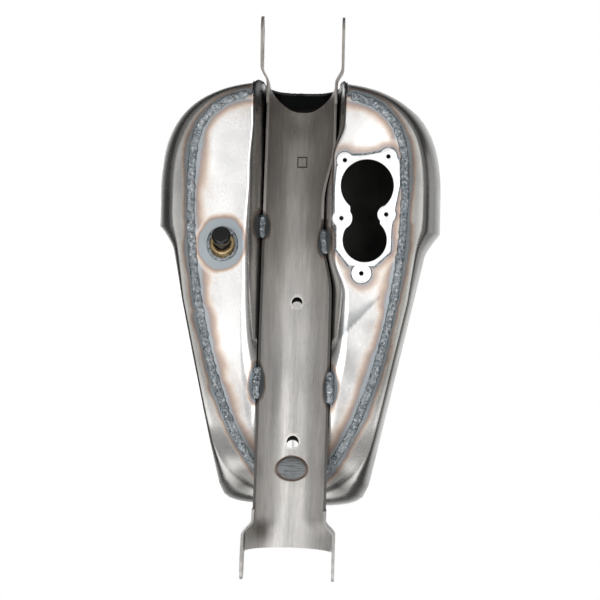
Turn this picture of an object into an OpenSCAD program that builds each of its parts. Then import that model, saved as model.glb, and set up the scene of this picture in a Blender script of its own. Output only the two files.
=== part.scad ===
// Motorcycle fuel tank in bare welded steel, for a frame with one backbone tube.
// Millimetres. X points to the steering head, Y to the rider's left, Z up.
// Every node is drawn on the tank's own datum (flat underside at Z = 0) and then
// moved so that the bolt through the two front ears lies on the origin.

/* [Tank body] */
// widest point of the tank, across both lobes
body_width = 328.8; // [300:0.2:350]
// widest line in front of the knees, ahead of datum
belt_x = 108; // [95:1:120]
// from the widest line forward to the nose
nose_length = 147; // [130:1:160]
// from the widest line back to the tail
tail_length = 348; // [330:1:365]
// height of the widest line above the flat underside
belt_height = 68; // [55:1:80]
// half width that the knee flank would have at the widest line
flank_width = 159.2; // [155:0.2:162]
// how much the knee flank narrows per millimetre of length
flank_slope = 0.2195; // [0.19:0.0005:0.25]
// where the knee step starts, its sharp corner
step_front = 79.5; // [70:0.5:90]
// where the knee step has run out into the flank
step_rear = 52; // [40:0.5:60]
// thickness of the pressed sheets
sheet = 1.5; // [1:0.1:2]

/* [Underside and seam] */
// half width of the welded seam at its widest
seam_width = 121.5; // [115:0.5:126]
// half width of the flat rim outside the seam
rim_width = 138.7; // [134:0.1:142]
// width of the seam bead
bead_width = 8.6; // [6:0.2:11]
// height of the seam bead
bead_height = 2.2; // [1.5:0.1:3]

/* [Saddle channel] */
// outer radius of the half-round channel
channel_r = 41; // [38:0.5:44]
// thickness of the channel plate
channel_plate = 3; // [2:0.5:4]
// how steeply the channel climbs to the front, in degrees
channel_climb = 11.31; // [9:0.01:13]
// height of the channel's edges at its front end
channel_front_z = 65; // [58:1:72]

/* [Mounting ears] */
// front bolt, ahead of datum
ear_x = 313; // [303:1:323]
// front bolt, height
ear_z = 58; // [50:1:66]
// outside width over the two front ears
ear_span = 97.4; // [92:0.2:104]
// front bolt hole, diameter
ear_hole = 8.6; // [6.4:0.1:10.5]
// rear bolt, behind datum
tab_x = -294; // [-300:1:-284]
// rear bolt, height
tab_z = -50; // [-56:1:-44]
// outside width over the two rear tabs
tab_span = 104; // [98:0.2:110]
// rear bolt hole, diameter
tab_hole = 8.6; // [6.4:0.1:10.5]

/* [Fuel fittings] */
// thickness of the machined pump flange
flange_plate = 6; // [5:0.5:8]
// thread of the pump screws, hole diameter
pump_screw = 5; // [4:0.1:6]
// outlet bung, outside diameter
bung_d = 28; // [24:0.5:32]
// outlet bung, bore diameter
bung_bore = 17.5; // [15:0.1:19]
// lean of the outlet bung toward the front, in degrees
bung_lean = 25; // [15:1:35]

/* [Filler] */
// filler centre, ahead of datum
filler_x = 112; // [100:1:125]
// filler neck, bore diameter
neck_bore = 52; // [48:0.5:56]
// filler neck, outside diameter
neck_d = 64; // [60:0.5:68]
// filler cap, outside diameter
cap_d = 72; // [68:0.5:76]

/* [Hidden] */

$fn = 96;
half_w = body_width / 2;
gap = 0.4;                 // fit-up gap between parts that are welded together
touch = 0.02;              // beads lie this far off the sheet they are drawn on
spine_gap = 0.6;           // half the gap between the two shells, filled by the weld
climb = tan(channel_climb);
channel_front_x = 223;

module on_datum() translate([-ear_x, 0, -ear_z]) children();

// ---- small helpers
function clamp01(t) = min(1, max(0, t));
function smooth(t) = let (c = clamp01(t)) c * c * (3 - 2 * c);
function mix(a, b, t) = a + (b - a) * t;
function root(v, n) = pow(max(v, 0), 1 / n);
// smooth curve through [x, y] pairs
function spline(x, t, i = 0) =
    (i < len(t) - 2 && x > t[i + 1][0]) ? spline(x, t, i + 1) :
    let (p = t[i], q = t[i + 1], o = t[max(i - 1, 0)], r = t[min(i + 2, len(t) - 1)],
         h = q[0] - p[0], s = clamp01((x - p[0]) / h),
         mp = h * (q[1] - o[1]) / (q[0] - o[0]), mq = h * (r[1] - p[1]) / (r[0] - p[0]))
    p[1] * (1 + 2 * s) * pow(1 - s, 2) + mp * s * pow(1 - s, 2)
    + q[1] * s * s * (3 - 2 * s) - mq * s * s * (1 - s);

// ---- plan curves; t runs from 1 at the nose through 0 at the widest line to -1 at the tail
function flank(x) = flank_width - flank_slope * (belt_x - x);
function outline_x(t) = belt_x + (t >= 0 ? nose_length : tail_length) * t;
function end_round(t, n, m) = root(1 - pow(abs(t), n), m);
function step_share(x, soft) =
    mix(pow(clamp01((x - step_rear) / (step_front - step_rear)), 1.75),
        smooth((x - 15) / (belt_x - 15)), soft);
function outline_y(t, soft = 0) = let (x = outline_x(t))
    t >= 0 ? half_w * end_round(t, 2.9, 2.9)
           : mix(flank(x), half_w, step_share(x, soft)) * end_round(t, 60, 3);
function rim_x(t) = belt_x + (t >= 0 ? 135 : 330) * t;
function rim_y(t) = let (x = rim_x(t))
    t >= 0 ? rim_width * end_round(t, 3.1, 3.1)
           : (flank(0) - 9.05 + flank_slope * min(x, 0)
              + (rim_width - flank(0) + 9.05) * clamp01(x / 95)) * end_round(t, 14, 2);
seam_x0 = 120;
seam_nose = 115.5;
seam_tail = 338;
function seam_x(t) = seam_x0 + (t >= 0 ? seam_nose : seam_tail) * t;
function seam_y(t) = seam_width * (t >= 0 ? end_round(t, 3.35, 3.35) : end_round(t, 1.8, 1.8));

// ---- heights
function pan_z(x) = x > -140 ? 0 : 0.0042 * pow(x + 140, 2);
nose_ridge = 170;          // height of the crown where it turns down to the nose
ridge = [[-212, 101], [-160, 122], [-100, 146], [0, 174], [60, 185], [115, 189],
         [160, 184], [198, nose_ridge]];
function ridge_z(x) = spline(x, ridge);
function ridge_x(t) = let (u = 1 - abs(t), share = 1 - (u + 0.06 * sqrt(u)) / 1.06)
    belt_x + (t >= 0 ? 90 : -320) * share;

// ---- the channel, and the tunnel in the underside that it sits in
// side is 1 on the pump's side (+Y), where both are pulled in to make room, else 0
pinch = 11.5;
foot_pinch = 14.5;
function pinched(x) = smooth((x - 5) / 75) * smooth((185 - x) / 70);
function foot_pinched(x) = smooth((x - 5) / 45) * smooth((205 - x) / 42);
function edge_z(x) = channel_front_z - (channel_front_x - x) * climb;
function flare(x) = smooth((x - 140) / 95);
function arch_w(x, side, off = 0) = 42.6 + 2 * flare(x) - pinch * side * pinched(x) + off;
function arch_n(x) = 2 + 1.4 * flare(x);
function arch_h(x, off = 0) = max(42.6 + 13 * flare(x), pan_z(x) + 2 - edge_z(x)) + off;
function skirt_top(x) = max(edge_z(x), pan_z(x) + 1);
function skirt_share(x, off = 0) = clamp01((skirt_top(x) - edge_z(x)) / arch_h(x, off));
function skirt_top_y(x, side, off = 0) =
    arch_w(x, side, off) * root(1 - pow(skirt_share(x, off), arch_n(x)), arch_n(x));
function tunnel_foot(x, side, off = 0) = skirt_top_y(x, 0, off)
    + mix(1.5, 10.5, smooth((x + 190) / 150)) - 4.5 * smooth((x - 150) / 60)
    - foot_pinch * side * foot_pinched(x);
// the tunnel's outer half width at a height, zero above its top
function tunnel_y(x, z, off) =
    z < skirt_top(x) ? mix(tunnel_foot(x, 0, off), skirt_top_y(x, 0, off),
                           clamp01((z - pan_z(x)) / (skirt_top(x) - pan_z(x))))
    : arch_w(x, 0, off) * root(1 - pow(clamp01((z - edge_z(x)) / arch_h(x, off)), arch_n(x)),
                               arch_n(x));
// how far forward the nose reaches at a height, near the tunnel
function nose_x(z) = z < belt_height
    ? mix(235, 253, sqrt(max(0, 1 - pow(1 - max(z, 0) / belt_height, 2))))
    : 198 + 55 * pow(cos(asin(clamp01(pow((z - belt_height) / (nose_ridge - belt_height),
                                          1.15)))), 0.87);

// ---- sheets: a grid of points on one face, a second grid sheet-thickness away
function unit(v) = norm(v) < 1e-9 ? [0, 0, 0] : v / norm(v);
function grid_normal(g, i, j) =
    let (r = len(g) - 1, c = len(g[0]) - 1)
    unit(cross(g[min(i + 1, r)][j] - g[max(i - 1, 0)][j],
               g[i][min(j + 1, c)] - g[i][max(j - 1, 0)]));
// flip = 1 when cross(rows, columns) points to the side that the second face lies on
module sheet_body(g, g2, flip = 1) {
    rows = len(g);
    cols = len(g[0]);
    n = rows * cols;
    pts = concat([for (r = g) for (p = r) p], [for (r = g2) for (p = r) p]);
    function id(i, j) = i * cols + j;
    face_a = [for (i = [0 : rows - 2]) for (j = [0 : cols - 2]) each
        [[id(i, j), id(i + 1, j + 1), id(i + 1, j)], [id(i, j), id(i, j + 1), id(i + 1, j + 1)]]];
    face_b = [for (f = face_a) [f[0] + n, f[2] + n, f[1] + n]];
    rim = concat(
        [for (j = [0 : cols - 2]) each [[id(0, j), n + id(0, j), n + id(0, j + 1)],
                                        [id(0, j), n + id(0, j + 1), id(0, j + 1)]]],
        [for (j = [0 : cols - 2]) each
            [[id(rows - 1, j), n + id(rows - 1, j + 1), n + id(rows - 1, j)],
             [id(rows - 1, j), id(rows - 1, j + 1), n + id(rows - 1, j + 1)]]],
        [for (i = [0 : rows - 2]) each [[id(i, 0), n + id(i + 1, 0), n + id(i, 0)],
                                        [id(i, 0), id(i + 1, 0), n + id(i + 1, 0)]]],
        [for (i = [0 : rows - 2]) each
            [[id(i, cols - 1), n + id(i, cols - 1), n + id(i + 1, cols - 1)],
             [id(i, cols - 1), n + id(i + 1, cols - 1), id(i + 1, cols - 1)]]]);
    all = concat(face_a, face_b, rim);
    polyhedron(pts, flip > 0 ? all : [for (f = all) [f[0], f[2], f[1]]], convexity = 8);
}
// a long solid with the same closed section at every station; flip turns its faces over
module bar_body(rings, flip = false) {
    n = len(rings);
    m = len(rings[0]);
    sides = [for (i = [0 : n - 2]) for (j = [0 : m - 1]) let (k = (j + 1) % m) each
        [[i * m + j, (i + 1) * m + j, (i + 1) * m + k], [i * m + j, (i + 1) * m + k, i * m + k]]];
    caps = [for (j = [1 : m - 2]) each [[0, j, j + 1],
                                        [(n - 1) * m, (n - 1) * m + j + 1, (n - 1) * m + j]]];
    faces = concat(sides, caps);
    polyhedron([for (r = rings) for (p = r) p],
               flip ? [for (f = faces) [f[0], f[2], f[1]]] : faces, convexity = 6);
}

// ---- outer shell: u-lines fan from the seam, round the belt, up to the ridge
// v: -2..-1 flat rim, -1..0 flank, 0..1 crown
function shell_point(t, v) =
    v <= -1 ? let (k = v + 2, x = mix(seam_x(t), rim_x(t), k), y = mix(seam_y(t), rim_y(t), k))
              [x, y, pan_z(x)] :
    v <= 0 ? let (a = (v + 1) * 90)
             [mix(rim_x(t), outline_x(t), sin(a)), mix(rim_y(t), outline_y(t), sin(a)),
              mix(pan_z(rim_x(t)), belt_height, 1 - cos(a))] :
    let (a = v * 90, n = 2.3, c = pow(cos(a), 2 / n), s = pow(sin(a), 2 / n), cx = ridge_x(t),
         dx = outline_x(t) - cx, m = (ridge_z(cx + 2) - ridge_z(cx - 2)) / 4)
    [cx + dx * c, outline_y(t, smooth(v / 0.45)) * c,
     mix(belt_height, ridge_z(cx), s) + m * dx * c * s * s];
function in_tunnel(p) = p[0] > 0
    && p[1] < tunnel_y(min(p[0], 243), p[2], sheet + gap + 1.3 * smooth((p[0] - 222) / 20));
function leave_tunnel(t, lo, hi, k = 14) = k == 0 ? hi :
    let (m = (lo + hi) / 2) in_tunnel(shell_point(t, m)) ? leave_tunnel(t, m, hi, k - 1)
                                                         : leave_tunnel(t, lo, m, k - 1);
hole_r = neck_d / 2 + gap + 0.9;
// the crown ends at the centre line, or at the filler hole
function ridge_stop(t) =
    let (cx = ridge_x(t), dx = outline_x(t) - cx, w = outline_y(t, 1), d = cx - filler_x,
         disc = pow(dx * d, 2) - (dx * dx + w * w) * (d * d - hole_r * hole_r),
         c_hole = disc > 0 ? (sqrt(disc) - dx * d) / (dx * dx + w * w) : 0,
         c = abs(d) < hole_r ? c_hole : 0)
    acos(pow(min(c, 1), 1.15)) / 90;
// stations: even steps of seam width at the nose, even angles round the lobe, even lengths back
nose_seam = [0.8, 12, 24, 31, 36, 39.5, 42, 44, 46, 49, 53, 57.4, 66, 76, 86];
lobe_steps = 10;
knee_steps = 13;
knee_t = 0.17;
flank_steps = 18;
tail_share = [0.9, 0.75, 0.55, 0.33, 0.13, 0.004];
function t_of_seam(y) = root(1 - pow(y / seam_width, 3.35), 3.35);
lobe_start = acos(pow(t_of_seam(86), 2.9 / 2));
tail_t = 0.93;
tail_g = end_round(tail_t, 60, 3);
stations = concat(
    [for (y = nose_seam) t_of_seam(y)],
    [for (i = [1 : lobe_steps]) pow(cos(mix(lobe_start, 90, i / lobe_steps)), 2 / 2.9)],
    [for (i = [1 : knee_steps]) -knee_t * i / knee_steps],
    [for (i = [1 : flank_steps]) -mix(knee_t, tail_t, i / flank_steps)],
    [for (f = tail_share) -root(1 - pow(f * tail_g, 3), 60)]);
rim_v = [0, 0.5, 1];
flank_v = [for (i = [1 : 6]) i / 6];
crown_v = [for (i = [1 : 12]) i / 12];
function shell_line(t) =
    let (start = in_tunnel(shell_point(t, -2)) ? leave_tunnel(t, -2, 1) : -2,
         stop = ridge_stop(t),
         at = concat([for (k = rim_v) k - 2], [for (k = flank_v) k - 1],
                     [for (k = crown_v) k * stop]))
    [for (v = at) let (p = shell_point(t, v < start ? mix(start, min(start + 0.02, 1),
                       (v + 2) / (start + 2.001)) : v))
        [p[0], spine_gap + p[1] * (1 - spine_gap / half_w), p[2]]];
shell_grid = [for (t = stations) shell_line(t)];
shell_inner = [for (i = [0 : len(shell_grid) - 1]) [for (j = [0 : len(shell_grid[0]) - 1])
    let (q = shell_grid[i][j] - sheet * grid_normal(shell_grid, i, j))
    [q[0], max(q[1], spine_gap), q[2]]]];

module shell_half() sheet_body(shell_grid, shell_inner, 1);
module shell_left() color("silver") on_datum() shell_half();
module shell_right() color("silver") on_datum() mirror([0, 1, 0]) shell_half();

// ---- underside: one pressed sheet, flat lobes joined by the tunnel
pan_gap = 0.6;
pan_front_y = 58;
pan_stations = concat(
    [for (y = [pan_front_y, 63, 70, 78, 87, 96, 105, 113, 118.5]) t_of_seam(y)],
    [for (i = [0 : 8]) 0.44 * (1 - i / 8)],
    [for (i = [1 : 18]) -0.85 * i / 18],
    [for (k = [0.885, 0.92, 0.95, 0.972, 0.985]) -k]);
arch_steps = 8;
pan_steps = 5;
function over_pan(t) = smooth((seam_x(t) - 150) / 82);
// half section from the crown of the tunnel (k = 0) out to the seam, side = 1 for +Y
function pan_half(t, side) =
    let (x = seam_x(t), w = over_pan(t), xt = x + 11 * w, n = arch_n(xt),
         a0 = asin(pow(skirt_share(xt), n / 2)), foot = tunnel_foot(xt, side),
         zt = skirt_top(xt), zp = pan_z(xt), ys = max(seam_y(t) - pan_gap, foot + 0.6),
         arch = [for (k = [0 : arch_steps]) let (a = mix(90, a0, k / arch_steps))
                 [arch_w(xt, side) * pow(cos(a), 2 / n), edge_z(xt) + arch_h(xt) * pow(sin(a), 2 / n)]],
         wall = concat(arch, [[mix(arch[arch_steps][0], foot, 0.5), mix(zt, zp, 0.5)], [foot, zp]]))
    concat([for (p = wall) [x + w * (nose_x(p[1]) - 232.5), p[0], p[1]]],
           [for (k = [1 : pan_steps]) let (q = k / pan_steps, f = x + w * (nose_x(0) - 232.5))
               let (px = mix(f, x - pan_gap * sign(t), smooth(q * 2)))
               [px, mix(foot, ys, q), pan_z(px)]]);
function pan_row(t) = let (l = pan_half(t, 1), r = pan_half(t, 0), n = len(l))
    concat([for (k = [n - 1 : -1 : 0]) l[k]], [for (k = [1 : n - 1]) [r[k][0], -r[k][1], r[k][2]]]);
pan_grid = [for (t = pan_stations) pan_row(t)];
pan_upper = [for (i = [0 : len(pan_grid) - 1]) [for (j = [0 : len(pan_grid[0]) - 1])
    pan_grid[i][j] + sheet * grid_normal(pan_grid, i, j)]];

bung_at = [61.3, -84];
module at_bung() translate([bung_at[0], bung_at[1], 0]) rotate([0, -bung_lean, 0]) children();
module bottom_pan() color("lightgray") on_datum() difference() {
    sheet_body(pan_grid, pan_upper, -1);
    translate([0, 0, -5]) linear_extrude(height = 12) flange_outline(1.2);
    at_bung() translate([0, 0, -12]) cylinder(r = bung_d / 2 + 0.2, h = 24);
}

// ---- seam bead, lying on the underside where the two sheets meet
bead_section = [[-0.5, 0], [-0.42, 0.5], [-0.17, 0.95], [0.17, 1], [0.42, 0.5], [0.5, 0]];
seam_run = concat([for (y = [pan_front_y, 66, 76, 86, 96, 105, 113]) t_of_seam(y)],
                  [for (i = [0 : 7]) 0.55 * (1 - i / 7)],
                  [for (i = [1 : 24]) -0.9 * i / 24], [for (k = [0.93, 0.96, 0.985, 0.996]) -k]);
function seam_point(k) = let (n = len(seam_run) - 1)
    k <= n ? [seam_x(seam_run[k]), seam_y(seam_run[k])]
    : k == n + 1 ? [seam_x(-1), 0]
    : [seam_x(seam_run[2 * n + 2 - k]), -seam_y(seam_run[2 * n + 2 - k])];
seam_count = 2 * len(seam_run) + 1;
function seam_side(k) = let (a = seam_point(max(k - 1, 0)), b = seam_point(min(k + 1, seam_count - 1)),
                             d = (b - a) / norm(b - a)) [d[1], -d[0]];
module seam_weld() color("slategray") on_datum()
    bar_body([for (k = [0 : seam_count - 1]) [for (s = bead_section)
        let (p = seam_point(k) + seam_side(k) * s[0] * bead_width)
        [p[0], p[1], pan_z(p[0]) - touch - 0.2 * smooth((-120 - p[0]) / 18)
                     - s[1] * bead_height]]], true);

// ---- bead round the mouth of the tunnel, where the nose meets it
module nose_weld() color("slategray") on_datum() {
    row = pan_row(pan_stations[0]);
    first = pan_steps;
    last = len(row) - 1 - pan_steps;
    ridge_h = 2.2;
    bar_body([for (k = [first : last])
        let (p = row[k], q = row[min(k + 1, last)], o = row[max(k - 1, first)],
             d = unit([0, q[1] - o[1], q[2] - o[2]]), out = [0, d[2], -d[1]],
             low = smooth((45 - p[2]) / 12), face = nose_x(p[2]) + 1.1 + 0.15 * low)
        [for (s = [[-0.2, 0], [0.1, 1.4], [1.4, ridge_h], [3 - 0.6 * low, 1.5], [3.9 - 1.1 * low, 0.2]])
            [face + s[1], p[1] + out[1] * s[0], p[2] + out[2] * s[0]]]], false);
}

// ---- saddle channel: half-round plate with an ear at each end of both edges
join_step = 0.35;           // the ears stand this far proud of the channel where they leave it
tab_out = tab_span / 2;
flare_from = -246;
flare_to = -261;
function channel_w(x, side) = channel_r - pinch * side * pinched(x)
    + (tab_out - join_step - channel_r) * smooth((flare_from - x) / (flare_from - flare_to));
channel_xs = concat([253, 249, 243, 235, 226], [for (i = [0 : 22]) 216 - i * 17.5],
                    [-182, -200, -218, -236, -246, -250, -253.5, -257, -261, -271, -281]);
channel_steps = 12;
// the front edge is scooped: its middle lies this far behind its corners
scoop = 29.5;
function channel_point(x, a, in) =
    let (w = channel_w(x, a < 90 ? 1 : 0) - in, back = scoop * (1 - pow(1 - sin(a), 0.63)))
    [x - back * smooth((x - 180) / 73), w * cos(a), edge_z(x) + (channel_r - in) * sin(a)];
channel_grid = [for (x = channel_xs) [for (j = [0 : channel_steps])
    channel_point(x, 180 * j / channel_steps, channel_plate)]];
channel_outer = [for (x = channel_xs) [for (j = [0 : channel_steps])
    channel_point(x, 180 * j / channel_steps, 0)]];
ear_r = 17;
tab_r = 16;
// where a straight edge from p touches a circle, on the upper (1) or lower (-1) side
function tangent(p, c, r, up) = let (d = c - p, l = norm(d), a = atan2(d[1], d[0]) + up * asin(r / l))
    p + sqrt(l * l - r * r) * [cos(a), sin(a)];
module ear_side(c, r, p_low, p_high, end) {
    inside = r - 0.08;     // the edges run just into the circle, so that they cross it cleanly
    translate(c) circle(r = r);
    polygon([p_low, tangent(p_low, c, inside, -end), c, tangent(p_high, c, inside, end), p_high]);
}
// one bent ear: its plan shape, cut to its side shape, drilled along Y
module ear(plan, c, r, hole, p_low, p_high, end) difference() {
    intersection() {
        translate([0, 0, -120]) linear_extrude(height = 260) polygon(plan);
        rotate([90, 0, 0]) translate([0, 0, -80]) linear_extrude(height = 160)
            ear_side(c, r, p_low, p_high, end);
    }
    translate([c[0], 0, c[1]]) rotate([90, 0, 0]) translate([0, 0, -80]) cylinder(r = hole / 2, h = 160);
}
ear_out = ear_span / 2;
root_out = channel_r + join_step;
// outer edges in plan, from the root to past the round end
ear_edge = [[228.2, root_out], [256, root_out], [268, ear_out], [ear_x + 20, ear_out]];
tab_edge = concat([for (x = [-233.3, -246, -250, -253.5, -257, -261]) [x, channel_w(x, 0) + join_step]],
                  [[tab_x - 20, tab_out]]);
// the plate between such an edge and the same edge one plate thickness further in
function plate_plan(edge) = concat(edge, [for (k = [len(edge) - 1 : -1 : 0])
                                          edge[k] - [0, channel_plate]]);
module ears_one_side() {
    ear(plate_plan(ear_edge), [ear_x, ear_z], ear_r, ear_hole, [230, 60], [230, 78], 1);
    ear(plate_plan(tab_edge), [tab_x, tab_z], tab_r, tab_hole, [-234, -40], [-234, -14], -1);
}
module saddle_channel() color("gray") on_datum() difference() {
    union() {
        sheet_body(channel_grid, channel_outer, -1);
        ears_one_side();
        mirror([0, 1, 0]) ears_one_side();
    }
    for (p = [[-3, 6.3], [-163, 7]]) translate([p[0], 0, -60]) cylinder(r = p[1], h = 200);
}

// ---- pump flange: five bosses round a waisted opening
flange_at = [97, 76];
screws = [[62.5, -23.3], [67.6, 25.8], [-3.3, -25.7], [2, 24.9], [-65.3, -1.7]];
boss_r = [9.2, 9.6, 10, 10.8, 11.2];
flange_body = [[67, -23], [68.5, 0], [73, 22], [75, 30], [62, 38.5], [35, 39.5], [10, 35],
               [-13, 31.3], [-40, 30.7], [-57, 13], [-57, -16], [-39, -30.6], [-13, -31],
               [5, -33.3], [31, -33.9], [55, -32.3]];
module flange_outline(grow = 0) translate(flange_at) {
    scale(1 + grow / 34) polygon(flange_body);
    for (i = [0 : 4]) translate(screws[i]) circle(r = boss_r[i] + grow);
}
module flange_opening() translate(flange_at) difference() {
    union() {
        translate([34, 2.7]) circle(r = 30);
        translate([-27.5, 1.2]) circle(r = 25);
        translate([-14, -16]) square([32, 34]);
    }
    translate(screws[2]) circle(r = 12.4);
    translate(screws[3]) circle(r = 10);
}
flange_low = -1;
module pump_flange() color("whitesmoke") on_datum() difference() {
    translate([0, 0, flange_low]) linear_extrude(height = flange_plate) difference() {
        flange_outline();
        flange_opening();
    }
    for (s = screws) translate([flange_at[0] + s[0], flange_at[1] + s[1], flange_low - 1])
        cylinder(r = pump_screw / 2, h = flange_plate + 2);
}
module pump_flange_weld() color("slategray") on_datum()
    translate([0, 0, sheet + 0.1]) linear_extrude(height = 2.6) difference() {
        flange_outline(2.6);
        flange_outline(0.06);
        // kept off the tunnel wall
        translate([40, 20]) square([120, 20.4]);
    }

// ---- outlet
bung_low = -5;
module outlet_bung() color("goldenrod") on_datum() at_bung() rotate_extrude()
    polygon([[bung_bore / 2, bung_low + 1], [bung_bore / 2 + 1.2, bung_low], [bung_d / 2 - 1, bung_low],
             [bung_d / 2, bung_low + 1], [bung_d / 2, 14], [bung_bore / 2, 14]]);
module ring_weld_at_bung() {
    n = 40;
    lean = tan(bung_lean);
    a = bung_d / 2 / cos(bung_lean);
    sec = [[0.06, 0.04], [0.06, 2.8], [1.4, 2.9], [3.2, 1.9], [4.8, 0.04]];
    pts = [for (i = [0 : n - 1]) for (s = sec)
        [bung_at[0] + s[1] * lean + (a + s[0]) * cos(360 * i / n),
         bung_at[1] + (bung_d / 2 + s[0]) * sin(360 * i / n), -s[1]]];
    m = len(sec);
    faces = [for (i = [0 : n - 1]) for (j = [0 : m - 1]) let (i2 = (i + 1) % n, k = (j + 1) % m) each
        [[i * m + j, i2 * m + k, i2 * m + j], [i * m + j, i * m + k, i2 * m + k]]];
    polyhedron(pts, faces, convexity = 6);
}
module outlet_bung_weld() color("slategray") on_datum() ring_weld_at_bung();
plug_play = 0.06;
module outlet_plug() color("black") on_datum() at_bung() rotate_extrude()
    polygon(concat([[0, 11], [bung_bore / 2 - plug_play - 1, 11], [bung_bore / 2 - plug_play, 10],
                    [bung_bore / 2 - plug_play, bung_low - 1], [7.4, bung_low - 2.5],
                    [7.4, bung_low - 9], [10.4, bung_low - 9.6]],
                   [for (a = [0 : 15 : 90]) [8.5 + 2.5 * cos(a), bung_low - 15 - 4.5 * sin(a)]],
                   [[0, bung_low - 20.5]]));

// ---- filler, on the crown
top_z = ridge_z(filler_x);
neck_r = neck_d / 2;
neck_top = top_z + 7;
module on_filler(z = 0) translate([filler_x, 0, z]) children();
module filler_neck() color("silver") on_datum() on_filler() rotate_extrude()
    polygon([[neck_bore / 2, neck_top - 19], [neck_r, neck_top - 19], [neck_r, neck_top - 1],
             [neck_r - 1, neck_top], [neck_bore / 2 + 1.5, neck_top], [neck_bore / 2, neck_top - 1.5]]);
// the crown falls away to both sides of the neck by this much
function crown_drop(y) = (top_z - belt_height) * (1 - root(1 - pow(abs(y) / half_w, 2.3), 2.3));
module filler_neck_weld() color("slategray") on_datum() {
    n = 48;
    sec = [[0.08, 0.15], [5, 0.15], [3.6, 1.8], [1.8, 2.9], [0.08, 3.2]];
    m = len(sec);
    pts = [for (i = [0 : n - 1]) for (s = sec) let (r = neck_r + s[0], a = 360 * i / n,
        x = filler_x + r * cos(a), y = r * sin(a)) [x, y, ridge_z(x) - crown_drop(y) + s[1]]];
    faces = [for (i = [0 : n - 1]) for (j = [0 : m - 1]) let (i2 = (i + 1) % n, k = (j + 1) % m) each
        [[i * m + j, i2 * m + k, i2 * m + j], [i * m + j, i * m + k, i2 * m + k]]];
    polyhedron(pts, faces, convexity = 6);
}
gasket_h = 1.4;
cap_low = neck_top + gasket_h + 0.1;
cap_r = cap_d / 2;
grips = 20;
module cap_cover() color("silver") on_datum() on_filler() difference() {
    rotate_extrude() polygon(concat([[0, cap_low], [cap_r - 1, cap_low], [cap_r, cap_low + 1],
        [cap_r, cap_low + 8]], [for (a = [0 : 10 : 90]) [cap_r - 5 + 5 * cos(a), cap_low + 8 + 5 * sin(a)]],
        [[cap_r - 14, cap_low + 14.2], [0, cap_low + 15]]));
    for (i = [0 : grips - 1]) rotate([0, 0, 360 * i / grips])
        translate([cap_r + 1.6, 0, cap_low - 1]) cylinder(r = 2.8, h = 11);
    for (a = [30, 150, 270]) rotate([0, 0, a]) translate([15, 0, cap_low - 1]) cylinder(r = 1.7, h = 9);
}
body_r = neck_bore / 2 - 0.35;
boss_bore = 5;
body_low = cap_low - 15;
module cap_body() color("gray") on_datum() on_filler() difference() {
    rotate_extrude() polygon([[boss_bore, body_low + 2], [8, body_low + 2], [8, cap_low - 5],
        [20.5, cap_low - 5], [20.5, body_low], [body_r - 1, body_low], [body_r, body_low + 1],
        [body_r, cap_low - 0.05], [1.5, cap_low - 0.05], [1.5, cap_low - 3], [boss_bore, cap_low - 3]]);
    for (a = [30, 150, 270]) rotate([0, 0, a]) translate([15, 0, cap_low - 6]) cylinder(r = 1.7, h = 7);
}
module cap_screws() color("dimgray") on_datum() on_filler() for (a = [30, 150, 270])
    rotate([0, 0, a]) translate([15, 0, 0]) difference() {
        union() {
            translate([0, 0, cap_low - 5]) cylinder(r = 1.62, h = 12);
            translate([0, 0, cap_low - 7.25]) cylinder(r = 3, h = 2.2);
            translate([0, 0, cap_low - 5.1]) cylinder(r = 1.62, h = 0.2);
        }
        translate([0, 0, cap_low - 8]) cylinder(r = 1.3, h = 2, $fn = 6);
    }
module cap_gasket() color("dimgray") on_datum() on_filler() rotate_extrude()
    polygon([[neck_bore / 2 + 1.6, neck_top + 0.04], [neck_r - 1.2, neck_top + 0.04],
             [neck_r - 1.2, neck_top + gasket_h], [neck_bore / 2 + 1.6, neck_top + gasket_h]]);
seat_z = cap_low - 3;
module cap_vent_valve() color("silver") on_datum() on_filler() rotate_extrude()
    polygon([[0, seat_z - 0.35], [4.4, seat_z - 0.35], [4.4, seat_z - 1.4], [1.2, seat_z - 1.8],
             [1.2, seat_z - 9.2], [0, seat_z - 9.6]]);
retainer_z = body_low + 2.6;
spring_low = retainer_z + 1.3;
spring_high = seat_z - 2.3;
module cap_vent_spring() color("silver") on_datum() on_filler() {
    turns = 4;
    steps = 12;
    wire = 0.35;
    coil_r = 2.9;
    bar_body([for (i = [0 : turns * steps]) let (a = 360 * i / steps,
        z = mix(spring_low + wire, spring_high - wire, i / (turns * steps)))
        [for (b = [0 : 60 : 300]) [(coil_r + wire * cos(b)) * cos(a), (coil_r + wire * cos(b)) * sin(a),
                                   z + wire * sin(b)]]], true);
}
module cap_vent_retainer() color("silver") on_datum() on_filler() translate([0, 0, retainer_z])
    difference() {
        cylinder(r = boss_bore - 0.03, h = 1.2);
        translate([0, 0, -1]) cylinder(r = 1.9, h = 4);
    }

// ---- the rest of the beads
// a run along the crown on the centre line, filling the gap between the shells
function crown_ring(x, z, dx, dz) = let (n = unit([-dz, 0, dx]))
    [for (s = [[-0.5, -sheet], [-0.5, 0.3], [-2.2, 0.35], [-1.2, 1.1], [1.2, 1.1], [2.2, 0.35],
               [0.5, 0.3], [0.5, -sheet]]) [x + n[0] * s[1], s[0], z + n[2] * s[1]]];
function run_rings(path) = [for (k = [0 : len(path) - 1])
    let (a = path[max(k - 1, 0)], b = path[min(k + 1, len(path) - 1)])
    crown_ring(path[k][0], path[k][1], a[0] - b[0], a[1] - b[1])];
nose_line = shell_grid[0];
nose_weld_top = 131;
nose_from = len([for (p = nose_line) if (p[2] < nose_weld_top) 1]);
nose_path = concat([for (k = [nose_from : len(nose_line) - 1]) [nose_line[k][0], nose_line[k][2]]],
                   [for (x = [188, 178, 168, 158, 149.4]) [x, ridge_z(x)]]);
tail_line = shell_grid[len(shell_grid) - 1];
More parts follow.
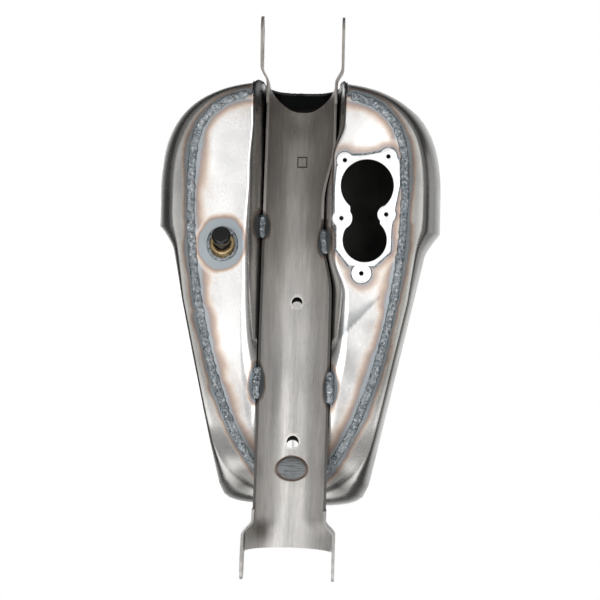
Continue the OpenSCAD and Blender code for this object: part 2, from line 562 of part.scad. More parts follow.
tail_path = concat([for (x = [74.6, 60, 40, 20, 0, -25, -50, -75, -100, -125, -150, -175, -195])
                        [x, ridge_z(x)]],
                   [for (k = [len(tail_line) - 1 : -1 : 4]) [tail_line[k][0], tail_line[k][2]]]);
module spine_weld() color("slategray") on_datum() {
    bar_body(run_rings(nose_path));
    bar_body(run_rings(tail_path));
}
// a short bead between the channel's edge and the tunnel wall
module stitch(x0, length, side) {
    n = 8;
    bar_body([for (i = [0 : n]) let (u = -0.96 + 1.92 * i / n, x = x0 + u * length / 2,
        q = sqrt(1 - u * u), w = channel_w(x, side), zr = edge_z(x), foot = tunnel_foot(x, side),
        wall = skirt_top_y(x, side))
        [for (s = zr > 2
              ? [[w - 2.8, zr - 0.06], [w + 1.2, zr - 0.06],
                 [mix(wall, foot, 0.16 + 0.16 * q) - 0.5, mix(zr, 0, 0.16 + 0.16 * q)],
                 [w + 0.4, zr - 0.4 - 3.6 * q], [w - 2.4, zr - 0.2 - 2 * q]]
              : [[w + 0.06, -0.06], [w + 0.5 + 5 * q, -0.06], [w + 0.4 + 4.4 * q, -0.3 - 1.8 * q],
                 [w + 0.3 + 1.6 * q, -0.5 - 3 * q], [w + 0.06, -0.6 - 2.6 * q]])
            [x, (side == 1 ? 1 : -1) * s[0], s[1]]]], side == 1);
}
module stitch_welds() color("slategray") on_datum() {
    stitch(84, 26, 0);
    stitch(68, 28, 1);
    stitch(-95, 36, 0);
    stitch(-99, 37, 1);
}
// the weld that closes the slot in the channel's crown, near its rear end
module saddle_plug_weld() color("slategray") on_datum() {
    n = 10;
    m = 8;
    x0 = -193;
    r_in = (channel_r - channel_plate) * cos(90 / channel_steps) - 0.05;
    half_l = 14;
    half_a = 29;
    g = [for (i = [0 : n]) [for (j = [0 : m]) let (u = -0.97 + 1.94 * i / n, q = sqrt(1 - u * u),
        a = 90 + half_a * q * (2 * j / m - 1), x = x0 + u * half_l)
        [x, r_in * cos(a), edge_z(x) + r_in * sin(a)]]];
    g2 = [for (i = [0 : n]) [for (j = [0 : m]) let (u = -0.97 + 1.94 * i / n, q = sqrt(1 - u * u),
        v = 2 * j / m - 1, a = 90 + half_a * q * v, x = x0 + u * half_l,
        r = r_in - 0.3 - 1.5 * q * (1 - v * v))
        [x, r * cos(a), edge_z(x) + r * sin(a)]]];
    sheet_body(g, g2, -1);
}

shell_left();
shell_right();
spine_weld();
bottom_pan();
seam_weld();
nose_weld();
saddle_channel();
saddle_plug_weld();
stitch_welds();
pump_flange();
pump_flange_weld();
outlet_bung();
outlet_bung_weld();
outlet_plug();
filler_neck();
filler_neck_weld();
cap_cover();
cap_body();
cap_screws();
cap_gasket();
cap_vent_valve();
cap_vent_spring();
cap_vent_retainer();
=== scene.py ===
import math
import random

import bmesh
import bpy
import numpy as np
from mathutils import Matrix, Vector, noise


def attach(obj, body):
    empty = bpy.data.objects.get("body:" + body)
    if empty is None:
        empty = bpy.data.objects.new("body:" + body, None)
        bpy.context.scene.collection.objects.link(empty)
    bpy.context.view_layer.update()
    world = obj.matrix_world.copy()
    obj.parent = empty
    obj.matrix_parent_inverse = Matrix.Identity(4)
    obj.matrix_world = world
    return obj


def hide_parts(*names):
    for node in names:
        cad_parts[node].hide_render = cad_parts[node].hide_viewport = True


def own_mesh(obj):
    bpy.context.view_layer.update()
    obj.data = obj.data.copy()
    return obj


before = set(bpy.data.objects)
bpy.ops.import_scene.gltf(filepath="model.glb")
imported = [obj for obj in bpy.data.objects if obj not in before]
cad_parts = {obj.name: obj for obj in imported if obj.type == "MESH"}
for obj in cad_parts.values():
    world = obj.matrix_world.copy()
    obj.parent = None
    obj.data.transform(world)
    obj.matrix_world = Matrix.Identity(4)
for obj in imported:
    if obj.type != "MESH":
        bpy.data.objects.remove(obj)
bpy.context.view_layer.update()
rng = random.Random(7)

# ---------------------------------------------------------------- the CAD's own measures
# Millimetres on the tank's datum: X forward, Y left, Z up, flat underside at z = 0.
# The row frame's origin, the front bolt, is at this point of the datum.
FRONT_BOLT = (313.0, 58.0)
BODY_W, BELT_X, NOSE_L, TAIL_L, BELT_H = 328.8, 108.0, 147.0, 348.0, 68.0
FLANK_W, FLANK_SLOPE, STEP_FRONT, STEP_REAR, SHEET = 159.2, 0.2195, 79.5, 52.0, 1.5
SEAM_W, RIM_W, SEAM_X0, SEAM_NOSE, SEAM_TAIL = 121.5, 138.7, 120.0, 115.5, 338.0
CHANNEL_R, PLATE, EDGE_X, EDGE_Z = 41.0, 3.0, 223.0, 65.0
CLIMB = math.tan(math.radians(11.31))
EAR_X, EAR_Z, EAR_SPAN = 313.0, 58.0, 97.4
TAB_X, TAB_Z, TAB_SPAN, BOLT_D = -294.0, -50.0, 104.0, 8.6
JOIN_STEP, FLARE_FROM, FLARE_TO, NOSE_RIDGE = 0.35, -246.0, -261.0, 170.0
FILLER_X, NECK_R = 112.0, 32.0
BUNG_AT, BUNG_R, BUNG_LEAN = (61.3, -84.0), 14.0, 25.0
FLANGE_AT = (97.0, 76.0)
SCREWS = [(62.5, -23.3), (67.6, 25.8), (-3.3, -25.7), (2.0, 24.9), (-65.3, -1.7)]
BOSS_R = [9.2, 9.6, 10.0, 10.8, 11.2]
FLANGE_BODY = [(67, -23), (68.5, 0), (73, 22), (75, 30), (62, 38.5), (35, 39.5), (10, 35),
               (-13, 31.3), (-40, 30.7), (-57, 13), (-57, -16), (-39, -30.6), (-13, -31),
               (5, -33.3), (31, -33.9), (55, -32.3)]
RIDGE = [(-212, 101), (-160, 122), (-100, 146), (0, 174), (60, 185), (115, 189), (160, 184),
         (198, 170)]
PINCH, FOOT_PINCH, GAP, SPINE_GAP = 11.5, 14.5, 0.4, 0.6
HOLES = [(-3.0, 6.3), (-163.0, 7.0)]
HALF_W = BODY_W / 2
FAR = 99.0              # the distance that a heat mark is given where it has no part


def row(x, y, z):
    """A datum point in millimetres as a row frame point in metres."""
    return ((x - FRONT_BOLT[0]) / 1000, y / 1000, (z - FRONT_BOLT[1]) / 1000)


def clamp01(t):
    return min(1.0, max(0.0, t))


def smooth(t):
    c = clamp01(t)
    return c * c * (3 - 2 * c)


def unit(a):
    """An array held between 0 and 1."""
    return np.clip(a, 0, 1)


def unit_rows(a):
    """The rows of an array at a length of 1."""
    return a / np.linalg.norm(a, axis=1, keepdims=True)


def mix(a, b, t):
    return a + (b - a) * t


def root(v, n):
    return max(v, 0.0) ** (1 / n)


def sind(a):
    return math.sin(math.radians(a))


def cosd(a):
    return math.cos(math.radians(a))


def spline(x, t):
    i = 0
    while i < len(t) - 2 and x > t[i + 1][0]:
        i += 1
    p, q, o, r = t[i], t[i + 1], t[max(i - 1, 0)], t[min(i + 2, len(t) - 1)]
    h = q[0] - p[0]
    s = clamp01((x - p[0]) / h)
    mp = h * (q[1] - o[1]) / (q[0] - o[0])
    mq = h * (r[1] - p[1]) / (r[0] - p[0])
    return (p[1] * (1 + 2 * s) * (1 - s) ** 2 + mp * s * (1 - s) ** 2
            + q[1] * s * s * (3 - 2 * s) - mq * s * s * (1 - s))


def end_round(t, n, m):
    return root(1 - abs(t) ** n, m)


def outline_x(t):
    return BELT_X + (NOSE_L if t >= 0 else TAIL_L) * t


def outline_y(t, soft=0.0):
    if t >= 0:
        return HALF_W * end_round(t, 2.9, 2.9)
    x = outline_x(t)
    hard = clamp01((x - STEP_REAR) / (STEP_FRONT - STEP_REAR)) ** 1.75
    share = mix(hard, smooth((x - 15) / (BELT_X - 15)), soft)
    return mix(FLANK_W - FLANK_SLOPE * (BELT_X - x), HALF_W, share) * end_round(t, 60, 3)


def rim_x(t):
    return BELT_X + (135 if t >= 0 else 330) * t


def rim_y(t):
    x = rim_x(t)
    if t >= 0:
        return RIM_W * end_round(t, 3.1, 3.1)
    at0 = FLANK_W - FLANK_SLOPE * BELT_X
    return (at0 - 9.05 + FLANK_SLOPE * min(x, 0) + (RIM_W - at0 + 9.05) * clamp01(x / 95)) \
        * end_round(t, 14, 2)


def seam_x(t):
    return SEAM_X0 + (SEAM_NOSE if t >= 0 else SEAM_TAIL) * t


def seam_y(t):
    return SEAM_W * (end_round(t, 3.35, 3.35) if t >= 0 else end_round(t, 1.8, 1.8))


PAN_RISE_X, PAN_RISE = -140, 0.0042


def pan_z(x):
    return 0.0 if x > PAN_RISE_X else PAN_RISE * (x - PAN_RISE_X) ** 2


def over_pan(co):
    """Height of each point of an array over the underside."""
    return co[:, 2] - np.where(co[:, 0] < PAN_RISE_X, PAN_RISE * (co[:, 0] - PAN_RISE_X) ** 2, 0)


def ridge_z(x):
    return spline(x, RIDGE)


def ridge_x(t):
    u = 1 - abs(t)
    share = 1 - (u + 0.06 * math.sqrt(u)) / 1.06
    return BELT_X + (90 if t >= 0 else -320) * share


def pinched(x):
    return smooth((x - 5) / 75) * smooth((185 - x) / 70)


def foot_pinched(x):
    return smooth((x - 5) / 45) * smooth((205 - x) / 42)


def edge_z(x):
    return EDGE_Z - (EDGE_X - x) * CLIMB


def flare(x):
    return smooth((x - 140) / 95)


def arch_w(x, side, off=0.0):
    return 42.6 + 2 * flare(x) - PINCH * side * pinched(x) + off


def arch_n(x):
    return 2 + 1.4 * flare(x)


def arch_h(x, off=0.0):
    return max(42.6 + 13 * flare(x), pan_z(x) + 2 - edge_z(x)) + off


def skirt_top(x):
    return max(edge_z(x), pan_z(x) + 1)


def skirt_share(x, off=0.0):
    return clamp01((skirt_top(x) - edge_z(x)) / arch_h(x, off))


def skirt_top_y(x, side, off=0.0):
    return arch_w(x, side, off) * root(1 - skirt_share(x, off) ** arch_n(x), arch_n(x))


def tunnel_foot(x, side, off=0.0):
    return (skirt_top_y(x, 0, off) + mix(1.5, 10.5, smooth((x + 190) / 150))
            - 4.5 * smooth((x - 150) / 60) - FOOT_PINCH * side * foot_pinched(x))


def tunnel_y(x, z, off):
    if z < skirt_top(x):
        return mix(tunnel_foot(x, 0, off), skirt_top_y(x, 0, off),
                   clamp01((z - pan_z(x)) / (skirt_top(x) - pan_z(x))))
    n = arch_n(x)
    return arch_w(x, 0, off) * root(1 - clamp01((z - edge_z(x)) / arch_h(x, off)) ** n, n)


def nose_x(z):
    if z < BELT_H:
        return mix(235, 253, math.sqrt(max(0, 1 - (1 - max(z, 0) / BELT_H) ** 2)))
    a = math.asin(clamp01(((z - BELT_H) / (NOSE_RIDGE - BELT_H)) ** 1.15))
    return 198 + 55 * math.cos(a) ** 0.87


def channel_w(x, side):
    flared = smooth((FLARE_FROM - x) / (FLARE_FROM - FLARE_TO))
    return CHANNEL_R - PINCH * side * pinched(x) + (TAB_SPAN / 2 - JOIN_STEP - CHANNEL_R) * flared


# ---------------------------------------------------------------- mesh helpers
def put(name, verts, faces, mats, body, slot, nodes=(), inner=None, sharp=38):
    """A mesh piece from datum points, its materials, the body it rides on and what it replaces."""
    mesh = bpy.data.meshes.new(name)
    mesh.from_pydata([row(*v) for v in verts], [], faces)
    if inner is not None:
        for p in mesh.polygons:
            p.material_index = 1 if inner(p.index) else 0
    return place(name, mesh, mats, body, nodes, sharp)


def face_outward(mesh):
    bm = bmesh.new()
    bm.from_mesh(mesh)
    bmesh.ops.recalc_face_normals(bm, faces=bm.faces)
    bm.to_mesh(mesh)
    bm.free()


def resmooth(mesh, sharp):
    for p in mesh.polygons:
        p.use_smooth = True
    mesh.set_sharp_from_angle(angle=math.radians(sharp))


def shown(name, data):
    obj = bpy.data.objects.new(name, data)
    bpy.context.scene.collection.objects.link(obj)
    return obj


def place(name, mesh, mats, body, nodes=(), sharp=38):
    face_outward(mesh)
    resmooth(mesh, sharp)
    for m in mats:
        mesh.materials.append(m)
    obj = shown(name, mesh)
    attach(obj, body)
    if nodes:
        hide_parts(*nodes)
    return obj


def sheet_faces(rows, cols):
    n = rows * cols
    faces = []
    for i in range(rows - 1):
        for j in range(cols - 1):
            a, b, c, d = i * cols + j, i * cols + j + 1, (i + 1) * cols + j + 1, (i + 1) * cols + j
            faces.append((a, b, c, d))
    first = len(faces)
    faces += [(n + a, n + d, n + c, n + b) for a, b, c, d in faces]
    second = len(faces)
    edge = [i * cols for i in range(rows)] + [(rows - 1) * cols + j for j in range(1, cols)]
    edge += [i * cols + cols - 1 for i in range(rows - 2, -1, -1)] + list(range(cols - 2, 0, -1))
    for k, a in enumerate(edge):
        b = edge[(k + 1) % len(edge)]
        faces.append((a, b, n + b, n + a))
    return faces, first, second


def grid_offset(g, thick):
    """The grid moved by thick along its own normals."""
    a = np.array(g, float)
    du = np.zeros_like(a)
    dv = np.zeros_like(a)
    du[1:-1], du[0], du[-1] = a[2:] - a[:-2], a[1] - a[0], a[-1] - a[-2]
    dv[:, 1:-1], dv[:, 0], dv[:, -1] = a[:, 2:] - a[:, :-2], a[:, 1] - a[:, 0], a[:, -1] - a[:, -2]
    n = np.cross(du, dv)
    size = np.linalg.norm(n, axis=2, keepdims=True)
    return a + thick * np.where(size > 1e-9, n / np.maximum(size, 1e-9), 0)


def modifier(obj, kind, **values):
    m = obj.modifiers.new(kind.lower(), kind)
    for k, v in values.items():
        setattr(m, k, v)


def apply_all(obj):
    dg = bpy.context.evaluated_depsgraph_get()
    made = bpy.data.meshes.new_from_object(obj.evaluated_get(dg))
    obj.modifiers.clear()
    old = obj.data
    obj.data = made
    made.name = old.name
    bpy.data.meshes.remove(old)


def cutter(name, verts, faces):
    mesh = bpy.data.meshes.new(name)
    mesh.from_pydata([row(*v) for v in verts], [], faces)
    face_outward(mesh)
    return shown(name, mesh)


def prism(name, outline, lift):
    """A closed prism: lift maps an outline point and 0 or 1 to a datum point."""
    n = len(outline)
    verts = [lift(p, 0) for p in outline] + [lift(p, 1) for p in outline]
    faces = [tuple(range(n)), tuple(range(2 * n - 1, n - 1, -1))]
    faces += [(i, (i + 1) % n, n + (i + 1) % n, n + i) for i in range(n)]
    return cutter(name, verts, faces)


def upright(name, plan, z0, z1):
    """A prism that stands on its plan."""
    return prism(name, plan, lambda p, e: (p[0], p[1], (z0, z1)[e]))


def crosswise(name, side_view):
    """A prism that runs right across the tank."""
    return prism(name, side_view, lambda p, e: (p[0], (-80, 80)[e], p[1]))


def circle(cx, cy, r, n=64):
    return [(cx + r * cosd(360 * k / n), cy + r * sind(360 * k / n)) for k in range(n)]


def combine(obj, other, how):
    modifier(obj, "BOOLEAN", operation=how, object=other, solver="EXACT")
    bpy.context.view_layer.update()
    apply_all(obj)
    mesh = other.data
    bpy.data.objects.remove(other)
    bpy.data.meshes.remove(mesh)


def attribute(obj, name, of_point):
    """A float on every vertex, worked out from its datum position in millimetres."""
    mesh = obj.data
    co = np.zeros(len(mesh.vertices) * 3, np.float32)
    mesh.vertices.foreach_get("co", co)
    co = co.reshape(-1, 3) * 1000 + np.array([FRONT_BOLT[0], 0, FRONT_BOLT[1]])
    layer = mesh.attributes.new(name, "FLOAT", "POINT")
    layer.data.foreach_set("value", np.asarray(of_point(co), np.float32))


def oval(co, x, y, rx=1, ry=1):
    """Distance from a point of the plan, as a share of an oval's half axes."""
    return np.hypot((co[:, 0] - x) / rx, (co[:, 1] - y) / ry)


def folded(co):
    """The plan with the right side laid over the left."""
    return np.stack([co[:, 0], np.abs(co[:, 1])], 1)


def path_distance(co, path):
    """Distance of each point from a polyline, in the plane or in space."""
    best = np.full(len(co), 1e9)
    pts = np.array(path, float)
    c = co[:, :pts.shape[1]]
    for a, b in zip(pts[:-1], pts[1:]):
        d = b - a
        t = unit(((c - a) @ d) / max(d @ d, 1e-9))
        best = np.minimum(best, np.linalg.norm(c - a - t[:, None] * d, axis=1))
    return best


# ---------------------------------------------------------------- materials
def rgb(c):
    """A colour: one number stands for a grey."""
    return c if isinstance(c, tuple) else (c, c, c)


class Nodes:
    """Builds one procedural material; every position is the row frame's, in metres."""

    def __init__(self, name):
        self.mat = bpy.data.materials.new(name)
        self.mat.use_nodes = True
        self.tree = self.mat.node_tree
        self.tree.nodes.clear()
        self.bsdf = self.node("BsdfPrincipled")
        self.link(self.bsdf.outputs[0], self.node("OutputMaterial").inputs[0])
        self.place = self.node("TexCoord").outputs["Object"]

    def node(self, kind):
        return self.tree.nodes.new("ShaderNode" + kind)

    def link(self, a, b):
        self.tree.links.new(a, b)

    def feed(self, socket, value):
        if isinstance(value, bpy.types.NodeSocket):
            self.link(value, socket)
        elif value is not None:
            socket.default_value = value

    def color(self, c):
        return c if isinstance(c, bpy.types.NodeSocket) else (*rgb(c), 1)

    def axes(self):
        """The place's X, Y and Z."""
        split = self.node("SeparateXYZ")
        self.link(self.place, split.inputs[0])
        return split.outputs

    def noise(self, scale, detail, rough, stretch=(1, 1, 1)):
        m = self.node("Mapping")
        self.link(self.place, m.inputs["Vector"])
        m.inputs["Scale"].default_value = stretch
        n = self.node("TexNoise")
        self.link(m.outputs[0], n.inputs["Vector"])
        for k, v in (("Scale", scale), ("Detail", detail), ("Roughness", rough)):
            n.inputs[k].default_value = v
        return n.outputs["Fac"]

    def math(self, how, a, b=None, clamp=False):
        m = self.node("Math")
        m.operation = how
        m.use_clamp = clamp
        for socket, value in zip(m.inputs, (a, b)):
            self.feed(socket, value)
        return m.outputs[0]

    def add(self, a, b):
        return self.math("ADD", a, b)

    def times(self, a, b):
        return self.math("MULTIPLY", a, b)

    def swing(self, value, by):
        """value, which lies about a half, as a change of either sign."""
        return self.times(self.math("SUBTRACT", value, 0.5), by)

    def span(self, value, low, high, to_low=0.0, to_high=1.0):
        m = self.node("MapRange")
        m.interpolation_type = "SMOOTHSTEP"
        self.link(value, m.inputs["Value"])
        for k, v in (("From Min", low), ("From Max", high), ("To Min", to_low),
                     ("To Max", to_high)):
            m.inputs[k].default_value = v
        return m.outputs["Result"]

    def ramp(self, value, *stops):
        r = self.node("ValToRGB")
        self.link(value, r.inputs["Fac"])
        e = r.color_ramp.elements
        while len(e) < len(stops):
            e.new(0.5)
        for k, (at, color) in zip(e, stops):
            k.position = at
            k.color = (*rgb(color), 1)
        return r.outputs["Color"]

    def blend(self, how, amount, a, b):
        m = self.node("Mix")
        m.data_type = "RGBA"
        m.blend_type = how
        self.feed(m.inputs[0], amount)
        self.feed(m.inputs[6], self.color(a))
        self.feed(m.inputs[7], self.color(b))
        return m.outputs[2]

    def shade(self, amount, a, b):
        return self.blend("MULTIPLY", amount, a, b)

    def tone(self, amount, color, value, *stops):
        return self.shade(amount, color, self.ramp(value, *stops))

    def painted(self, name):
        a = self.node("Attribute")
        a.attribute_name = name
        return a.outputs["Fac"]

    def bump(self, height, strength, distance, before=None):
        b = self.node("Bump")
        b.inputs["Strength"].default_value = strength
        b.inputs["Distance"].default_value = distance
        self.link(height, b.inputs["Height"])
        self.feed(b.inputs["Normal"], before)
        return b.outputs[0]

    def done(self, color, rough, metal, normal):
        for k, v in (("Base Color", self.color(color)), ("Roughness", rough), ("Metallic", metal),
                     ("Normal", normal)):
            self.feed(self.bsdf.inputs[k], v)
        return self.mat


STRAW = (0.56, 0.465, 0.395)
BROWN = (0.335, 0.245, 0.195)
PURPLE = (0.24, 0.20, 0.20)
SCALE_GREY = (0.25, 0.28, 0.30)
RAMP_MM = 40.0          # length of steel that a heat ramp spans
# painted light: a pale disc on the tunnel ceiling set back behind each channel hole, with a
# painted shadow crescent ahead of it
HOLE_SHADOW = 5.5       # how far back the pale part of the ceiling behind a hole is set


def heat_stops(start, reach, clean):
    """Tempering colours away from a weld: grey to start, a dark line, then brown and straw."""
    w = reach - start
    stops = [(0.0, SCALE_GREY), (start, SCALE_GREY), (start + 0.10 * w, PURPLE),
             (start + 0.26 * w, BROWN), (start + 0.60 * w, STRAW), (reach, clean)]
    return [(mm / RAMP_MM, color) for mm, color in stops]


def sheet_steel(name, heats, clean, rough, streak=(1, 1, 1), fine=0.10, shade=None, metal=0.95,
                haze=None):
    """Bare sheet steel. heats: (attribute in mm, start and reach of the tint, strength)."""
    g = Nodes(name)
    patch, grain = g.noise(24, 3, 0.55), g.noise(520, 3, 0.7, streak)
    color = g.tone(1.0, clean, g.noise(9, 5, 0.6), (0.25, (0.86, 0.86, 0.87)),
                   (0.75, (1.08, 1.07, 1.05)))
    color = g.tone(0.5, color, grain, (0.3, (0.80, 0.80, 0.81)), (0.7, (1.1, 1.1, 1.09)))
    if haze is not None:
        far = g.span(g.painted(haze), 6, 34, 0.8, 0.0)
        drift = g.span(g.noise(13, 4, 0.6), 0.42, 0.62)
        color = g.blend("MIX", g.times(far, drift), color, (0.50, 0.40, 0.33))
    wobble = g.swing(g.noise(60, 5, 0.6), 4.5)
    reach_by = g.span(g.noise(17, 3, 0.5), 0.36, 0.64, 1.15, 0.80)
    dull = None
    for attr, start, reach, strength in heats:
        mm = g.add(g.times(g.painted(attr), reach_by), wobble)
        at = g.math("DIVIDE", mm, RAMP_MM, clamp=True)
        near = g.span(mm, mix(start, reach, 0.35), reach * 1.05, strength, 0.0)
        color = g.blend("MIX", near, color, g.ramp(at, *heat_stops(start, reach, clean)))
        dull = near if dull is None else g.math("MAXIMUM", dull, near)
    if shade is not None:
        color = g.shade(1.0, color, shade(g))
    if any(h[0] == "stitch_mm" for h in heats):
        color = g.shade(g.span(g.painted("stitch_mm"), 0.2, 2.4, 1.0, 0.0), color,
                        (0.42, 0.44, 0.46))
    fleck = g.span(g.noise(170, 6, 0.75), 0.66, 0.76, 0.0, 0.5)
    color = g.shade(fleck, color, (0.55, 0.48, 0.42))
    r = g.add(g.span(patch, 0.3, 0.75, *rough), g.swing(grain, 0.14))
    r = g.add(r, g.times(dull, 0.12))
    n = g.bump(patch, 0.05, 0.0015, g.bump(grain, fine, 0.0004))
    return g.done(color, r, metal, g.bump(g.noise(7, 2, 0.4), 0.18, 0.02, n))


def weld_metal(name="weld_bead", crest_highlight=(0.70, 0.73, 0.76), tone=1.0):
    g = Nodes(name)
    lump, speck = g.noise(330, 5, 0.7), g.noise(900, 2, 0.6)
    color = g.ramp(g.noise(75, 4, 0.65), (0.3, (0.17, 0.195, 0.215)), (0.5, (0.28, 0.315, 0.34)),
                   (0.66, (0.42, 0.45, 0.47)))
    # painted highlight: the tops of the lumps are mixed toward a bright colour; the hollows
    # between them are darkened
    color = g.blend("MIX", g.span(lump, 0.54, 0.64, 0.0, 0.95), color, crest_highlight)
    color = g.shade(g.span(lump, 0.47, 0.36, 0.0, 0.85), color, (0.30, 0.27, 0.27))
    color = g.blend("MIX", g.span(speck, 0.64, 0.70, 0.0, 0.8), color, (0.78, 0.80, 0.82))
    rust = g.span(g.noise(140, 3, 0.6), 0.62, 0.70, 0.0, 0.6)
    color = g.shade(1.0, g.blend("MIX", rust, color, (0.22, 0.14, 0.09)), tone)
    r = g.span(lump, 0.3, 0.7, 0.55, 0.26)
    return g.done(color, r, 0.85, g.bump(speck, 0.4, 0.0004, g.bump(lump, 1.0, 0.0014)))


def dull_weld():
    """A weld ground half smooth: dark, with a brown edge where plug_mm runs out."""
    g = Nodes("smooth_weld")
    cloud = g.noise(90, 4, 0.6)
    c = g.ramp(cloud, (0.3, (0.105, 0.11, 0.115)), (0.7, (0.19, 0.20, 0.205)))
    edge = g.span(g.painted("plug_mm"), -3.6, -0.6, 0.0, 0.85)
    c = g.blend("MIX", edge, c, (0.10, 0.068, 0.052))
    return g.done(c, g.span(cloud, 0.3, 0.7, 0.34, 0.46), 0.9, g.bump(cloud, 0.25, 0.0012))


def machined_metal(name, color, rough, turned=False):
    g = Nodes(name)
    lines = g.noise(60, 2, 0.5, (1, 1, 60)) if turned else g.noise(900, 2, 0.5, (0.06, 1, 1))
    cloud = g.noise(30, 4, 0.6)
    c = g.tone(1.0, color, cloud, (0.3, 0.90), (0.7, (1.06, 1.06, 1.05)))
    c = g.tone(0.35, c, lines, (0.35, 0.82), (0.65, 1.08))
    r = g.add(g.span(cloud, 0.3, 0.7, rough - 0.05, rough + 0.07), g.swing(lines, 0.12))
    return g.done(c, r, 0.9, g.bump(lines, 0.10, 0.0003))


def brass_like():
    g = Nodes("bung_metal")
    cloud, rings = g.noise(120, 4, 0.6), g.noise(90, 2, 0.5, (1, 1, 40))
    c = g.ramp(cloud, (0.3, (0.33, 0.20, 0.09)), (0.5, (0.62, 0.44, 0.22)),
               (0.7, (0.74, 0.60, 0.36)))
    return g.done(c, g.span(cloud, 0.3, 0.7, 0.24, 0.42), 1.0, g.bump(rings, 0.12, 0.0003))


def moulded(name, color, rough, grain=0.06, scale=1400):
    g = Nodes(name)
    speckle, cloud = g.noise(scale, 3, 0.6), g.noise(60, 3, 0.6)
    r = g.add(g.span(cloud, 0.3, 0.7, rough - 0.03, rough + 0.05), g.swing(speckle, 0.1))
    return g.done(g.tone(1.0, color, cloud, (0.3, 0.8), (0.7, 1.2)), r, 0.0,
                  g.bump(speckle, grain, 0.0003))


def inside_steel():
    g = Nodes("inside_steel")
    cloud = g.noise(25, 5, 0.6)
    c = g.ramp(cloud, (0.3, (0.10, 0.095, 0.09)), (0.7, (0.17, 0.165, 0.16)))
    return g.done(c, g.span(cloud, 0.3, 0.7, 0.45, 0.6), 0.9, g.bump(cloud, 0.1, 0.001))


def pan_shade(g):
    """Painted shade: the tunnel is darker toward its ceiling, and darkest at its mouth and in a
    painted shadow crescent ahead of each hole, with painted light on the ceiling behind each hole
    and the painted shade of a pressed wedge beside the pump opening.
    """
    # painted shadow inside the tunnel, darkest at the ceiling of its mouth
    dark = g.ramp(g.painted("tunnel_shadow"), (0.0, 1.0), (0.3, (0.80, 0.79, 0.78)),
                  (0.7, (0.34, 0.33, 0.32)), (1.0, 0.02))
    # painted shade of a pressed wedge beside the pump opening
    dark = g.shade(g.painted("ramp"), dark, (0.40, 0.42, 0.43))
    ahead, y, _ = g.axes()
    for hole_x, r in HOLES:
        # painted shadow crescent ahead of each hole and painted light behind it, on the ceiling
        # seen through the hole
        away = []
        for at in (hole_x, hole_x - HOLE_SHADOW):
            x = g.math("SUBTRACT", ahead, row(at, 0, 0)[0])
            away.append(g.math("SQRT", g.add(g.times(x, x), g.times(y, y))))
        behind = g.span(away[0], (r + 2) / 1000, (r + 4) / 1000, 1.0, 0.0)
        shadow_crescent = g.span(away[1], (r - 0.4) / 1000, (r + 0.9) / 1000)
        dark = g.blend("MIX", behind, dark, g.ramp(shadow_crescent, (0.0, 1.25), (1.0, 0.01)))
    return dark


def lip_shade(g):
    """Painted shade: the flat lip outside the seam is darkened, and the edge over the mouth
    painted dark as its shadow; the seam's rear ends are darkened as scorch.
    """
    return g.ramp(g.painted("lip"), (0.0, 1.0), (0.5, (0.46, 0.46, 0.455)), (1.0, 0.10))


def channel_shade(g):
    """Painted light and shade on the channel: it darkens to the front as painted shade and has
    pale and dark streaks along its length, with painted shade and painted highlights at its rear
    corners and hole rims and a painted shadow line along its rims.
    """
    x = g.axes()[0]
    length = g.ramp(g.span(x, -0.56, -0.06), (0.0, (0.96, 0.965, 0.965)),
                    (0.45, (0.92, 0.92, 0.915)), (0.78, (0.68, 0.665, 0.645)),
                    (1.0, (0.54, 0.51, 0.48)))
    c = g.tone(0.8, length, g.noise(42, 5, 0.7, (0.10, 1.6, 0.6)), (0.25, (0.66, 0.66, 0.67)),
               (0.72, (1.15, 1.15, 1.14)))
    c = g.tone(0.6, c, g.noise(230, 4, 0.7, (0.03, 1.4, 0.5)), (0.3, (0.78, 0.77, 0.76)),
               (0.68, 1.12))
    # painted shade in one rear corner, then painted highlights at the other rear corner and round
    # the holes
    c = g.shade(g.painted("painted_corner_shade"), c, (0.30, 0.28, 0.26))
    c = g.blend("MIX", g.painted("painted_highlight"), c, (1.45, 1.44, 1.40))
    return g.shade(g.painted("edge"), c, (0.16, 0.155, 0.15))


